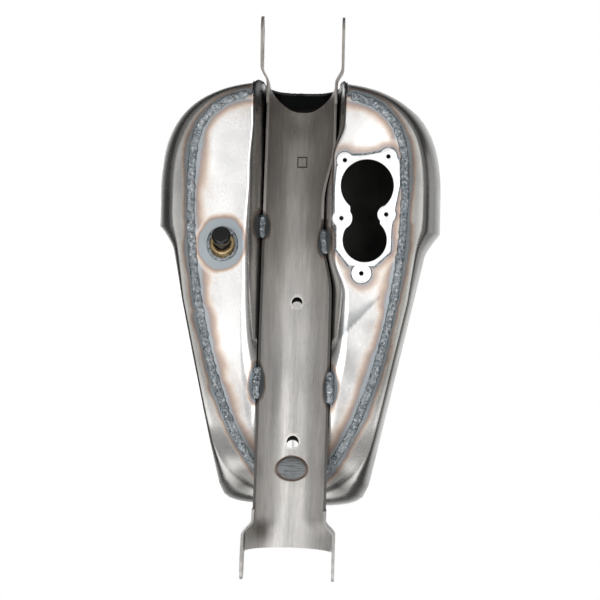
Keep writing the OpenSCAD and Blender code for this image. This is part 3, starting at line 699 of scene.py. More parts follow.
SHELL_HEATS = [("seam_mm", 6.5, 13, 0.9), ("spine_mm", 3, 8, 0.9), ("neck_mm", 6, 12, 0.9)]
PAN_HEATS = [("seam_mm", 6.4, 20, 0.9), ("mouth_mm", 4, 11, 0.9), ("fit_mm", 0.8, 13, 0.8),
             ("bung_mm", 7, 14, 0.95), ("stitch_mm", 1.2, 5, 0.95)]
CHANNEL_HEATS = [("stitch_mm", 1.2, 4, 0.95), ("plug_mm", 0.2, 2.2, 0.95)]
M = {
    "shell": sheet_steel("bare_steel", SHELL_HEATS, (0.50, 0.495, 0.48), (0.22, 0.32),
                         shade=lip_shade),
    "pan": sheet_steel("underside_steel", PAN_HEATS, (0.725, 0.722, 0.715), (0.18, 0.28),
                       fine=0.035, shade=pan_shade, haze="seam_mm"),
    "channel": sheet_steel("channel_steel", CHANNEL_HEATS, (0.635, 0.62, 0.605), (0.36, 0.50),
                           (0.08, 1, 1), 0.2, channel_shade, 0.52),
    "weld": weld_metal(),
    "smooth_weld": dull_weld(),
    # the nose bead's weld metal darkened to a quarter: painted shade at the tunnel's mouth
    "nose_weld": weld_metal("nose_weld", 0.5, 0.25),
    "stitch_weld": weld_metal("stitch_weld", (0.92, 0.96, 1.0)),
    "inside": inside_steel(),
    "flange": machined_metal("machined_flange", (0.90, 0.90, 0.89), 0.42),
    "bung": brass_like(),
    "plug": moulded("plug_plastic", (0.004, 0.004, 0.0045), 0.08, 0.02),
    "neck": machined_metal("filler_steel", (0.62, 0.62, 0.61), 0.28, turned=True),
    "cap": machined_metal("cap_metal", (0.80, 0.80, 0.79), 0.16, turned=True),
    "cap_plastic": moulded("cap_plastic", 0.018, 0.45),
    "rubber": moulded("gasket_rubber", 0.014, 0.7, 0.15, 800),
    "hardware": machined_metal("small_hardware", (0.45, 0.45, 0.46), 0.32),
    "stamp": moulded("stamp_dark", 0.03, 0.6, 0.1, 800),
}

# ---------------------------------------------------------------- outer shells
def shell_point(t, v):
    if v <= -1:
        k = v + 2
        return (mix(seam_x(t), rim_x(t), k), mix(seam_y(t), rim_y(t), k),
                pan_z(mix(seam_x(t), rim_x(t), k)))
    if v <= 0:
        a = (v + 1) * 90
        return (mix(rim_x(t), outline_x(t), sind(a)), mix(rim_y(t), outline_y(t), sind(a)),
                mix(pan_z(rim_x(t)), BELT_H, 1 - cosd(a)))
    a = v * 90
    c, s = max(cosd(a), 0) ** (2 / 2.3), sind(a) ** (2 / 2.3)
    cx = ridge_x(t)
    dx = outline_x(t) - cx
    m = (ridge_z(cx + 2) - ridge_z(cx - 2)) / 4
    return (cx + dx * c, outline_y(t, smooth(v / 0.45)) * c,
            mix(BELT_H, ridge_z(cx), s) + m * dx * c * s * s)


def in_tunnel(p):
    off = SHEET + GAP + 1.3 * smooth((p[0] - 222) / 20)
    return p[0] > 0 and p[1] < tunnel_y(min(p[0], 243), p[2], off)


def leave_tunnel(t):
    lo, hi = -2.0, 1.0
    for _ in range(16):
        m = (lo + hi) / 2
        lo, hi = (m, hi) if in_tunnel(shell_point(t, m)) else (lo, m)
    return hi


def ridge_stop(t):
    hole = NECK_R + GAP + 0.9
    cx = ridge_x(t)
    dx, w, d = outline_x(t) - cx, outline_y(t, 1), cx - FILLER_X
    disc = (dx * d) ** 2 - (dx * dx + w * w) * (d * d - hole * hole)
    c = 0.0
    if abs(d) < hole and disc > 0:
        c = (math.sqrt(disc) - dx * d) / (dx * dx + w * w)
    return math.degrees(math.acos(min(c, 1) ** 1.15)) / 90


def t_of_seam(y):
    return root(1 - (y / SEAM_W) ** 3.35, 3.35)


LOBE_START = math.degrees(math.acos(t_of_seam(86) ** (2.9 / 2)))
TAIL_T, KNEE_T = 0.93, 0.17
TAIL_G = end_round(TAIL_T, 60, 3)
stations = [t_of_seam(y) for y in
            [0.8, 5, 9, 13, 17, 21, 25, 28, 31, 33.5, 35.5, 37, 38.5, 40, 41, 42, 43, 44, 45, 46,
             47.5, 49, 51, 53, 55.5, 58, 62, 66, 70, 74, 78, 82, 86]]
stations += [cosd(mix(LOBE_START, 90, k / 30)) ** (2 / 2.9) for k in range(1, 31)]
stations += [-KNEE_T * k / 44 for k in range(1, 45)]
stations += [-mix(KNEE_T, TAIL_T, k / 48) for k in range(1, 49)]
stations += [-root(1 - (f * TAIL_G) ** 3, 60)
             for f in [0.96, 0.9, 0.83, 0.75, 0.66, 0.55, 0.44, 0.33, 0.22, 0.13, 0.06, 0.004]]
V_ROWS = ([-2 + k / 5 for k in range(6)] + [-1 + k / 22 for k in range(1, 23)]
          + [k / 44 for k in range(1, 45)])


def shell_line(t):
    start = leave_tunnel(t) if in_tunnel(shell_point(t, -2)) else -2
    stop = ridge_stop(t)
    line = []
    for v in V_ROWS:
        v = v * stop if v > 0 else v
        if v < start:
            v = mix(start, min(start + 0.02, 1), (v + 2) / (start + 2.001))
        x, y, z = shell_point(t, v)
        line.append((x, SPINE_GAP + y * (1 - SPINE_GAP / HALF_W), z))
    return line


def lip(co):
    """0.5 on the flat lip outside the seam and near 1 on the nose's edge, both painted shade; near
    1 at the seam's rear ends, a scorch mark.
    """
    flat = 0.5 * unit(1 - over_pan(co) / 5) * unit((co[:, 0] + 150) / 60)
    nose = (unit((co[:, 0] - 228) / 10) * unit((52 - np.abs(co[:, 1])) / 6)
            * unit((134 - co[:, 2]) / 10))
    tail = 0.85 * unit(1.25 - oval(folded(co), -208, 55, 17, 15)) * (co[:, 2] < 60)
    return np.maximum(flat, np.maximum(nose, tail))


shell_grid = np.array([shell_line(t) for t in stations])
shell_inner = grid_offset(shell_grid, -SHEET)
shell_inner[:, :, 1] = np.maximum(shell_inner[:, :, 1], SPINE_GAP)
seam_path = [(seam_x(t), seam_y(t)) for t in
             [t_of_seam(58 + 55 * k / 20) for k in range(21)]
             + [0.55 * (1 - k / 12) for k in range(12)] + [-k / 80 for k in range(1, 81)]]
rows_n, cols_n = shell_grid.shape[:2]
faces, first, second = sheet_faces(rows_n, cols_n)
for side, name in ((1, "left"), (-1, "right")):
    pts = np.vstack([shell_grid.reshape(-1, 3), shell_inner.reshape(-1, 3)]) * (1, side, 1)
    shell = put("shell_pressing_" + name, pts, faces, [M["shell"], M["inside"]], "tank",
                "bare_steel", ["shell_" + name], lambda k: first <= k < second, 30)
    attribute(shell, "seam_mm", lambda co: np.where(co[:, 2] < 40, path_distance(
        folded(co), seam_path) + np.maximum(over_pan(co), 0), FAR))
    attribute(shell, "lip", lip)
    attribute(shell, "spine_mm", lambda co: np.where(co[:, 2] > 95, np.abs(co[:, 1]), FAR))
    attribute(shell, "neck_mm", lambda co: np.where(
        co[:, 2] > 95, oval(co, FILLER_X, 0) - NECK_R, FAR))

# ---------------------------------------------------------------- underside
PAN_GAP, ARCH_STEPS, PAN_STEPS = 0.6, 20, 22
pan_ts = [t_of_seam(y) for y in [58, 60, 62, 65, 68, 71, 75, 79, 83, 87, 91, 95, 99, 103, 107, 110,
                                 113, 115, 117, 118.5]]
pan_ts += [0.44 * (1 - k / 20) for k in range(21)]
pan_ts += [-0.85 * k / 64 for k in range(1, 65)]
pan_ts += [-k for k in [0.865, 0.885, 0.90, 0.92, 0.935, 0.95, 0.962, 0.972, 0.98, 0.985]]


def pan_half(t, side):
    x, w = seam_x(t), smooth((seam_x(t) - 150) / 82)
    xt = x + 11 * w
    n = arch_n(xt)
    a0 = math.degrees(math.asin(skirt_share(xt) ** (n / 2)))
    foot, zt, zp = tunnel_foot(xt, side), skirt_top(xt), pan_z(xt)
    ys = max(seam_y(t) - PAN_GAP, foot + 0.6)
    wall = []
    for k in range(ARCH_STEPS + 1):
        a = mix(90, a0, k / ARCH_STEPS)
        wall.append((arch_w(xt, side) * max(cosd(a), 0) ** (2 / n),
                     edge_z(xt) + arch_h(xt) * sind(a) ** (2 / n)))
    top_y = wall[-1][0]
    # the wall turns out into the flat lobe round a soft bend
    start, bend_out = 0.35, min(mix(8.0, 5.5, smooth((xt - 60) / 90)), 0.45 * (ys - foot))
    drawn_in = min(2.6 * smooth((xt - 60) / 90), 0.4 * bend_out)
    for k in range(1, 9):
        q = k / 8
        a0, a1, a2 = (1 - q) ** 2, 2 * q * (1 - q), q * q
        wall.append((a0 * mix(top_y, foot, start) + a1 * (foot - drawn_in)
                     + a2 * (foot + bend_out - drawn_in),
                     a0 * mix(zt, zp, start) + a1 * zp + a2 * zp))
    line = [(x + w * (nose_x(z) - 232.5), y, z) for y, z in wall]
    f = x + w * (nose_x(0) - 232.5)
    q0 = (bend_out - drawn_in) / max(ys - foot, 1e-6)
    for k in range(1, PAN_STEPS + 1):
        q = mix(q0, 1, (k / PAN_STEPS) ** 1.25)
        px = mix(f, x - PAN_GAP * (1 if t > 0 else -1 if t < 0 else 0), smooth(q * 2 - q0))
        line.append((px, mix(foot, ys, q), pan_z(px)))
    return line


def pan_row(t):
    left, right = pan_half(t, 1), pan_half(t, 0)
    return left[::-1] + [(x, -y, z) for x, y, z in right[1:]]


pan_grid = np.array([pan_row(t) for t in pan_ts])
pan_upper = grid_offset(pan_grid, SHEET)
pan_faces, p_first, p_second = sheet_faces(*pan_grid.shape[:2])
pan = put("underside_sheet", np.vstack([pan_grid.reshape(-1, 3), pan_upper.reshape(-1, 3)]),
          pan_faces, [M["pan"], M["inside"]], "tank", "underside_steel", ["bottom_pan"],
          lambda k: p_first <= k < p_second, 45)


FLANGE_REACH = 34       # from the flange's middle to its long sides, about


def flange_tool(name, grow, z0, z1):
    k = 1 + grow / FLANGE_REACH
    body = [(FLANGE_AT[0] + x * k, FLANGE_AT[1] + y * k) for x, y in FLANGE_BODY]
    tool = upright(name, body, z0, z1)
    for (x, y), r in zip(SCREWS, BOSS_R):
        boss = circle(FLANGE_AT[0] + x, FLANGE_AT[1] + y, r + grow)
        combine(tool, upright(name + "_boss", boss, z0, z1), "UNION")
    return tool


def at_bung(p):
    """A point in the bung's own frame, its axis along z, as a datum point."""
    c, s = cosd(BUNG_LEAN), sind(BUNG_LEAN)
    return (BUNG_AT[0] + p[0] * c - p[2] * s, BUNG_AT[1] + p[1], p[0] * s + p[2] * c)


combine(pan, flange_tool("flange_cut", 1.2, -5, 7), "DIFFERENCE")
combine(pan, prism("bung_cut", circle(0, 0, BUNG_R + 0.2),
                   lambda p, e: at_bung((p[0], p[1], (-12, 12)[e]))), "DIFFERENCE")
resmooth(pan.data, 40)

# ---------------------------------------------------------------- weld beads
def waver(x, y, z, scale):
    return noise.noise(Vector((x, y, z)) * scale)


def bead(path, sides, ups, width, height, pitch, sink=0.35, seed=0.0, ends=True, rough=1.0):
    """Vertices and faces of a rippled bead along a path of datum points."""
    path, sides, ups = (np.array(a, float) for a in (path, sides, ups))
    step = np.linalg.norm(np.diff(path, axis=0), axis=1)
    s = np.concatenate([[0], np.cumsum(step)])
    count = max(8, int(s[-1] / 0.62))
    at = np.linspace(0, s[-1], count)
    p3, d3, u3 = (np.stack([np.interp(at, s, a[:, k]) for k in range(3)], 1)
                  for a in (path, sides, ups))
    d3, u3 = unit_rows(d3), unit_rows(u3)
    across = [-1, -0.94, -0.82, -0.66, -0.48, -0.28, -0.08, 0.12, 0.32, 0.52, 0.70, 0.85, 0.95, 1]
    verts = []
    for i in range(count):
        base = p3[i]
        fade = 1.0
        if ends:
            near = min(at[i], s[-1] - at[i]) / (width * 0.55)
            fade = math.sqrt(max(0.02, 1 - (1 - min(near, 1)) ** 2))
        wide = width / 2 * (1 + 0.16 * rough * waver(at[i], seed, 0, 0.16)
                            + 0.08 * rough * waver(at[i], seed, 9, 0.6)) * mix(0.5, 1, fade)
        drift = 0.5 * rough * waver(at[i], 5 + seed, 3, 0.12)
        for a in across:
            phase = (at[i] - pitch * 1.1 * (1 - a * a)) / pitch + 0.35 * waver(at[i], seed, 2, 0.3)
            ripple = abs(math.sin(math.pi * phase)) ** 0.6
            dome = (1 - abs(a) ** 2.6) ** 0.75 if abs(a) < 1 else 0.0
            lump = rough * (0.20 * waver(at[i], a * 3 + seed, 1, 0.6)
                            + 0.20 * waver(at[i], a * 5 + seed, 7, 1.3)
                            + 0.16 * waver(at[i], a * 6 + seed, 4, 2.6))
            h = height * fade * dome * (0.80 + 0.16 * ripple + lump)
            verts.append(base + d3[i] * (a * wide + drift) + u3[i] * h)
        for a in (0.9, -0.9):
            verts.append(base + d3[i] * (a * wide * 0.9 + drift) - u3[i] * sink)
    m = len(across) + 2
    faces = [(i * m + j, i * m + (j + 1) % m, (i + 1) * m + (j + 1) % m, (i + 1) * m + j)
             for i in range(count - 1) for j in range(m)]
    faces += [tuple(range(m)), tuple(range(count * m - 1, (count - 1) * m - 1, -1))]
    return [tuple(v) for v in verts], faces


def join(parts):
    verts, faces = [], []
    for v, f in parts:
        n = len(verts)
        verts += v
        faces += [tuple(n + k for k in q) for q in f]
    return verts, faces


def put_bead(name, shape, node, key="weld"):
    return put(name, *shape, [M[key]], "tank", "weld_bead", [node], sharp=60)


seam_ts = [t_of_seam(58 + 57 * k / 24) for k in range(25)]
seam_ts += [0.5 * (1 - k / 14) for k in range(14)] + [-0.9 * k / 70 for k in range(1, 71)]
seam_ts += [-k for k in [0.92, 0.94, 0.955, 0.97, 0.98, 0.988, 0.994, 0.998]]
half = [(seam_x(t), seam_y(t)) for t in seam_ts]
ring = np.array(half + [(seam_x(-1), 0.0)] + [(x, -y) for x, y in half[::-1]])
tangent = unit_rows(np.gradient(ring, axis=0))
shape = bead([(x, y, pan_z(x) - 0.05) for x, y in ring], [(-b, a, 0) for a, b in tangent],
             [(0, 0, -1)] * len(ring), width=9.6, height=2.15, pitch=3.0, seed=1.0, rough=1.5)
put_bead("seam_bead", shape, "seam_weld")

mouth = pan_row(pan_ts[0])[PAN_STEPS:-PAN_STEPS]
mouth_path, mouth_side = [], []
for k, p in enumerate(mouth):
    q, o = mouth[min(k + 1, len(mouth) - 1)], mouth[max(k - 1, 0)]
    d = Vector((0, q[1] - o[1], q[2] - o[2])).normalized()
    out = Vector((0, -d[2], d[1]))
    if out.dot(Vector((0, p[1], p[2] - 60))) < 0:
        out = -out
    mouth_path.append((nose_x(p[2]) + 0.4, p[1] + out[1] * 1.6, p[2] + out[2] * 1.6))
    mouth_side.append((0.3, out[1], out[2]))
shape = bead(mouth_path, mouth_side, [(1, 0, 0)] * len(mouth), width=4.2, height=1.9, pitch=2.4,
             seed=3.0, sink=0.9)
put_bead("nose_bead", shape, "nose_weld", "nose_weld")


nose_line = [(p[0], p[2]) for p in shell_grid[0] if p[2] > 131]
nose_line += [(x, ridge_z(x)) for x in (190, 182, 174, 166, 158, 149.4)]
tail_line = [(x, ridge_z(x)) for x in range(74, -200, -8)]
tail_line += [(p[0], p[2]) for p in shell_grid[-1][::-1] if p[0] < -203 and p[2] > 22]
TANK_MIDDLE = np.array([20.0, 60.0])
runs = []
for number, line in enumerate((nose_line, tail_line)):
    pts = np.array(line, float)
    d = np.gradient(pts, axis=0)
    normal = unit_rows(np.stack([-d[:, 1], d[:, 0]], 1))
    normal *= np.sign((normal * (pts - TANK_MIDDLE)).sum(1, keepdims=True))
    runs.append(bead([(a, 0, b) for a, b in pts], [(0, 1, 0)] * len(pts),
                     [(a, 0, b) for a, b in normal], width=4.6, height=0.95, pitch=2.2,
                     seed=4.0 + number, sink=1.2, rough=0.6))
put_bead("spine_bead", join(runs), "spine_weld")


def ring_bead(n, point, side, up, **size):
    angles = [360 * k / n for k in range(n + 1)]
    return bead(*([f(a) for a in angles] for f in (point, side, up)), ends=False, **size)


lean = 1 / cosd(BUNG_LEAN)
shape = ring_bead(72, lambda a: (BUNG_AT[0] + (BUNG_R + 1.9) * lean * cosd(a) + 0.4,
                                 BUNG_AT[1] + (BUNG_R + 1.9) * sind(a), -0.2),
                  lambda a: (cosd(a), sind(a), 0), lambda a: (-0.2 * cosd(a), -0.2 * sind(a), -1),
                  width=4.6, height=2.2, pitch=2.5, seed=11.0)
put_bead("bung_bead", shape, "outlet_bung_weld")


def crown_drop(y):
    return (ridge_z(FILLER_X) - BELT_H) * (1 - root(1 - (abs(y) / HALF_W) ** 2.3, 2.3))


def neck_foot(a, r=NECK_R + 2.2):
    x, y = FILLER_X + r * cosd(a), r * sind(a)
    return (x, y, ridge_z(x) - crown_drop(y) + 0.3)


shape = ring_bead(96, neck_foot, lambda a: (cosd(a), sind(a), -0.1),
                  lambda a: (0.35 * cosd(a), 0.35 * sind(a), 1),
                  width=5.0, height=2.2, pitch=2.6, seed=13.0)
put_bead("neck_bead", shape, "filler_neck_weld")

stitch_at = [(84, 26, 0), (68, 28, 1), (-95, 36, 0), (-99, 37, 1)]
stitch_path = []
runs = []
for number, (x0, length, side) in enumerate(stitch_at):
    sign = 1 if side else -1
    xs = [x0 + length * (k / 16 - 0.5) for k in range(17)]
    pts, sides, ups = [], [], []
    for x in xs:
        w, zr = channel_w(x, side), edge_z(x)
        if zr > 2:
            wall = mix(skirt_top_y(x, side), tunnel_foot(x, side), 0.1)
            pts.append((x, sign * (w + wall - 1.4) / 2, zr - 0.5))
            sides.append((0, sign, -0.25))
            ups.append((0, 0.15 * sign, -1))
        else:
            pts.append((x, sign * (w + 1.2), -0.5))
            sides.append((0, sign, 0.35))
            ups.append((0, 0.45 * sign, -1))
    stitch_path.append([(p[0], p[1]) for p in pts])
    wide = 8.4 if edge_z(x0) > 2 else 9.0
    runs.append(bead(pts, sides, ups, wide, height=2.9, pitch=2.8, seed=20.0 + number, rough=1.5,
                     sink=0.8))
put_bead("stitch_beads", join(runs), "stitch_welds", "stitch_weld")

# the weld that closes the channel's slot: rows of ripple over an oval
PLUG_X, PLUG_L, PLUG_A = -193.0, 14.0, 29.0
g_rows, g_cols = 60, 48
dome, back = [], []
for i in range(g_rows + 1):
    u = -0.985 + 1.97 * i / g_rows
    q = math.sqrt(1 - u * u)
    for j in range(g_cols + 1):
        w = 2 * j / g_cols - 1
        a, x = 90 + PLUG_A * q * w, PLUG_X + u * PLUG_L
        r0 = CHANNEL_R - PLATE
        edge = (1 - w ** 4) * q
        wave = abs(math.sin(math.pi * (x + 0.9 * math.cos(w * 2.2)) / 2.9)) ** 0.9
        lump = 0.12 * waver(x, w * 6, 3, 0.3)
        r = r0 - 0.15 - 1.8 * edge * (0.88 + 0.07 * wave + lump)
        dome.append((x, r * cosd(a), edge_z(x) + r * sind(a)))
        back.append((x, (r0 + 0.2) * cosd(a), edge_z(x) + (r0 + 0.2) * sind(a)))
faces, _, _ = sheet_faces(g_rows + 1, g_cols + 1)
slot_plug = put_bead("slot_plug_bead", (dome + back, faces), "saddle_plug_weld", "smooth_weld")

# ---------------------------------------------------------------- saddle channel
SCOOP = 29.5
channel_xs = [253, 251, 249, 246, 243, 239, 235, 230.5, 226, 221, 216]
channel_xs += [216 - 4 * k for k in range(1, 100)]
channel_xs += [-182 - 3 * k for k in range(21)]
channel_xs += [-244, -246, -248, -250, -251.75, -253.5, -255.25, -257, -259, -261, -264, -268,
               -272, -277, -281]


def scoop_rise(u):
    """0 at the middle of the scooped edge, 1 at its corners, round at the bottom."""
    low, high = 0.05 ** 0.63, (1 + 0.05 ** 2) ** 0.315
    return ((u * u + 0.05 ** 2) ** 0.315 - low) / (high - low)


def channel_point(x, a, inward):
    w = channel_w(x, 1 if a < 90 else 0) - inward
    back = SCOOP * (1 - scoop_rise(1 - sind(a))) * smooth((x - 180) / 73)
    return (x - back, w * cosd(a), edge_z(x) + (CHANNEL_R - inward) * sind(a))


A_STEPS = 48
both_faces = [channel_point(x, 180 * j / A_STEPS, inward) for inward in (PLATE, 0)
              for x in channel_xs for j in range(A_STEPS + 1)]
faces, _, _ = sheet_faces(len(channel_xs), A_STEPS + 1)
channel = put("channel_plate", both_faces, faces, [M["channel"]], "tank", "channel_steel",
              ["saddle_channel"], sharp=40)


def touch_angle(p, c, r, up):
    d = (c[0] - p[0], c[1] - p[1])
    reach = math.hypot(*d)
    a = math.atan2(d[1], d[0]) + up * math.asin(r / reach)
    k = math.sqrt(reach * reach - r * r)
    return (p[0] + k * math.cos(a), p[1] + k * math.sin(a))


def ear_outline(c, r, low, high, end):
    """The side view of an ear: straight edges from its root to a round end."""
    a, b = touch_angle(low, c, r, -end), touch_angle(high, c, r, end)
    t0, t1 = math.atan2(a[1] - c[1], a[0] - c[0]), math.atan2(b[1] - c[1], b[0] - c[0])
    if end > 0:
        while t1 < t0:
            t1 += 2 * math.pi
    else:
        while t1 > t0:
            t1 -= 2 * math.pi
    arc = [(c[0] + r * math.cos(mix(t0, t1, k / 40)), c[1] + r * math.sin(mix(t0, t1, k / 40)))
           for k in range(41)]
    return [low] + arc + [high]


ROOT_OUT = CHANNEL_R + JOIN_STEP
ear_out, tab_out = EAR_SPAN / 2, TAB_SPAN / 2


def bend(stops):
    """A plan edge with its corners rounded."""
    pts = []
    for k, p in enumerate(stops):
        if 0 < k < len(stops) - 1:
            a, b = Vector(stops[k - 1]), Vector(stops[k + 1])
            c = Vector(p)
            m0, m1 = c + (a - c).normalized() * 4, c + (b - c).normalized() * 4
            for t in (0, 0.25, 0.5, 0.75, 1):
                pts.append(tuple(m0 * (1 - t) ** 2 + c * 2 * t * (1 - t) + m1 * t * t))
        else:
            pts.append(tuple(p))
    return pts


def ear_plan(kind):
    if kind == "ear":
        edge = bend([(228.2, ROOT_OUT), (256, ROOT_OUT), (268, ear_out), (EAR_X + 20, ear_out)])
    else:
        edge = [(x, channel_w(x, 0) + JOIN_STEP) for x in
                (-233.3, -246, -248, -250, -251.75, -253.5, -255.25, -257, -259, -261)]
        edge.append((TAB_X - 20, tab_out))
    return edge + [(x, y - PLATE) for x, y in edge[::-1]]


EARS = [("ear", (EAR_X, EAR_Z), 16.95, (230, 60), (230, 78), 1),
        ("tab", (TAB_X, TAB_Z), 15.95, (-234, -40), (-234, -14), -1)]
for kind, c, r, low, high, end in EARS:
    for sign in (1, -1):
        part = upright("ear_tool", [(x, sign * y) for x, y in ear_plan(kind)], -120, 140)
        combine(part, crosswise("side_tool", ear_outline(c, r, low, high, end)), "INTERSECT")
        combine(channel, part, "UNION")
    combine(channel, crosswise("bolt_tool", circle(*c, BOLT_D / 2, 48)), "DIFFERENCE")
for x, r in HOLES:
    combine(channel, upright("hole_tool", circle(x, 0, r, 48), -60, 140), "DIFFERENCE")
modifier(channel, "BEVEL", width=0.0005, segments=2, limit_method="ANGLE",
         angle_limit=math.radians(50), use_clamp_overlap=True)
apply_all(channel)
resmooth(channel.data, 40)

# ---------------------------------------------------------------- turned and machined parts
def refine(node, name, key, body, slot, width, angle=30.0):
    """The CAD solid with its edges broken, so that they catch the light as real ones do."""
    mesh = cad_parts[node].data.copy()
    mesh.materials.clear()
    bm = bmesh.new()
    bm.from_mesh(mesh)
    bmesh.ops.remove_doubles(bm, verts=bm.verts, dist=2e-6)
    bmesh.ops.dissolve_limit(bm, angle_limit=math.radians(0.8), verts=bm.verts, edges=bm.edges)
    bm.to_mesh(mesh)
    bm.free()
    mesh.name = name
    obj = place(name, mesh, [M[key]], body, [node], 35)
    if width:
        modifier(obj, "BEVEL", width=width, segments=3, limit_method="ANGLE",
                 angle_limit=math.radians(angle), use_clamp_overlap=True)
        apply_all(obj)
        resmooth(obj.data, 35)
    return obj


for node, name, key, body, slot, *edge in (
        ("pump_flange", "pump_flange_plate", "flange", "tank", "machined_flange", 0.0005),
        ("outlet_bung", "outlet_bung_ring", "bung", "tank", "bung_metal", 0.0003),
        ("outlet_plug", "outlet_plug_cap", "plug", "plug", "plug_plastic", 0.0006, 25),
        ("filler_neck", "filler_neck_ring", "neck", "tank", "filler_steel", 0.0004),
        ("cap_cover", "cap_cover_knob", "cap", "cap", "cap_metal", 0.0005, 28),
        ("cap_body", "cap_body_plug", "cap_plastic", "cap", "cap_plastic", 0.0003),
        ("cap_gasket", "cap_gasket_ring", "rubber", "cap_lift", "gasket_rubber", 0.0003),
        ("cap_screws", "cap_screw_set", "hardware", "cap", "small_hardware", 0.0002),
        ("cap_vent_valve", "vent_valve_disc", "hardware", "vent", "small_hardware", 0.0002),
        ("cap_vent_retainer", "vent_retainer_disc", "hardware", "cap", "small_hardware", 0.0002),
        ("pump_flange_weld", "flange_fillet", "weld", "tank", "weld_bead", 0.0006)):
    refine(node, name, key, body, slot, *edge)
coil = refine("cap_vent_spring", "vent_spring_coil", "hardware", "cap", "small_hardware", 0)
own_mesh(coil)

# ---------------------------------------------------------------- heat marks, painted shade and painted highlights
flange_ring = [(FLANGE_AT[0] + mix(a[0], b[0], t / 3), FLANGE_AT[1] + mix(a[1], b[1], t / 3))
               for a, b in zip(FLANGE_BODY, FLANGE_BODY[1:] + FLANGE_BODY[:1]) for t in range(3)]


def flange_mm(co):
    d = path_distance(co, flange_ring + flange_ring[:1])
    for (x, y), r in zip(SCREWS, BOSS_R):
        d = np.minimum(d, oval(co, FLANGE_AT[0] + x, FLANGE_AT[1] + y) - r)
    return np.where(co[:, 2] < 6, np.maximum(d, 0), FAR)


def stitch_mm(co):
    """Outside an oval round each stitch, as seen from below: less than 0 inside it."""
    d = np.full(len(co), FAR)
    for (x0, length, _), path in zip(stitch_at, stitch_path):
        y0 = np.mean([p[1] for p in path])
        d = np.minimum(d, (oval(co, x0, y0, length / 2, 7.0) - 1) * 7.0)
    return d


full_seam = [tuple(p) for p in ring]
attribute(pan, "seam_mm", lambda co: np.where(co[:, 2] < 45, path_distance(co, full_seam), FAR))


def tunnel_shadow(co):
    """How dark the tunnel's own shadow is, 0 on the lobes to 1 at the ceiling of the mouth."""
    x, z = co[:, 0], co[:, 2]
    up = np.array([skirt_top(k) for k in x])
    wall = np.clip((z - 1.5) / np.maximum(up, 8) * 0.75, 0, 0.75)
    mouth_end = np.maximum(unit((x - 185) / 22) * unit((z - 40) / 35),
                           unit((x - 205) / 22) * unit((z - 2) / 14) * 0.8)
    corner = unit((x - 218) / 10) * unit((z - 0.6) / 4) * 0.9
    return np.maximum(np.maximum(wall, mouth_end), corner)


attribute(pan, "tunnel_shadow", tunnel_shadow)


def wedge_shade(co):
    """Painted shade standing for a pressed wedge beside the pump opening: sharp behind, fading to
    the front.
    """
    along = (co[:, 1] - 50) / 46
    ahead = co[:, 0] + 46 - 50 * along
    share = unit(ahead / 1.5) * unit(1 - ahead / (26 * (1 - along) + 3)) ** 0.6
    return np.where((along > -0.3) & (along < 1) & (co[:, 2] < 4), share, 0)


attribute(pan, "ramp", wedge_shade)
attribute(pan, "mouth_mm", lambda co: np.maximum(236 - co[:, 0], 0))
attribute(pan, "fit_mm", flange_mm)
attribute(pan, "bung_mm", lambda co: np.where(
    co[:, 2] < 4, oval(co, *BUNG_AT, lean) - BUNG_R - 4, FAR))
attribute(pan, "stitch_mm", stitch_mm)
# painted shadow: a dark line along the channel's rims toward the front, where they meet the tunnel
attribute(channel, "edge", lambda co: np.array([
    1.0 if abs(z - edge_z(x)) < 1.2 and x < 95 and abs(y) > 20 else 0.0 for x, y, z in co]))
# painted shade in the channel's rear right corner
attribute(channel, "painted_corner_shade", lambda co: unit(1.3 - oval(co, -262, -33, 14, 14)))


def pale(co):
    """The channel's painted highlights: its rear left corner, and the rim of each hole."""
    best = unit(1.2 - oval(co, -258, 36, 11, 9)) * 0.5
    for hole_x, r in HOLES:
        best = np.maximum(best, unit(1 - (oval(co, hole_x, 0) - r - 0.6) / 1.5) * 0.8)
    return best


attribute(channel, "painted_highlight", pale)
attribute(channel, "stitch_mm", stitch_mm)


def plug_mm(co):
    """Outside an oval round the slot's weld: less than 0 inside it."""
    away = oval(co, PLUG_X, 0, 13.9, 18.2) - 1
    return np.where(co[:, 2] > edge_z(PLUG_X), away * 15, FAR)


attribute(channel, "plug_mm", plug_mm)
attribute(slot_plug, "plug_mm", plug_mm)

# ---------------------------------------------------------------- spatter
ball = bmesh.new()
bmesh.ops.create_icosphere(ball, subdivisions=1, radius=1.0)
ball_v = [tuple(v.co) for v in ball.verts]
ball_f = [tuple(v.index for v in f.verts) for f in ball.faces]
ball.free()
SEAM_DROPS, STITCH_DROPS = 420, 14
drops = []
for _ in range(SEAM_DROPS):
    k = rng.randrange(4, len(ring) - 4)
    off = rng.choice((-1, 1)) * (4.2 + rng.expovariate(1 / 4.0))
    x = ring[k][0] - tangent[k][1] * off + rng.uniform(-2, 2)
    y = ring[k][1] + tangent[k][0] * off + rng.uniform(-2, 2)
    if abs(y) < 58 or abs(off) > 16:
        continue
    size = 0.22 + 0.38 * rng.random() ** 3
    drops.append(((x, y, pan_z(x) - size * 0.35), size))
for path in stitch_path:
    for _ in range(STITCH_DROPS):
        p = path[rng.randrange(len(path))]
        out = 1 if p[1] > 0 else -1
        size = 0.25 + 0.35 * rng.random() ** 2
        x = p[0] + rng.uniform(-6, 6)
        y = p[1] + out * rng.uniform(4, 10)
        if edge_z(p[0]) < 2 or abs(y) > tunnel_foot(x, 1 if out > 0 else 0) + 1.0:
            drops.append(((x, y, pan_z(x) - size * 0.35), size))
parts = []
for (x, y, z), size in drops:
    if abs(y) < tunnel_foot(x, 1 if y > 0 else 0) + 1.5:
        continue
    at_flange = flange_mm(np.array([[x, y, 0.0]]))[0] < 3
    if at_flange or math.hypot(x - BUNG_AT[0], y - BUNG_AT[1]) < 21:
        continue
    parts.append(([(x + a * size, y + b * size, z + c * size * 0.8) for a, b, c in ball_v],
                  ball_f))
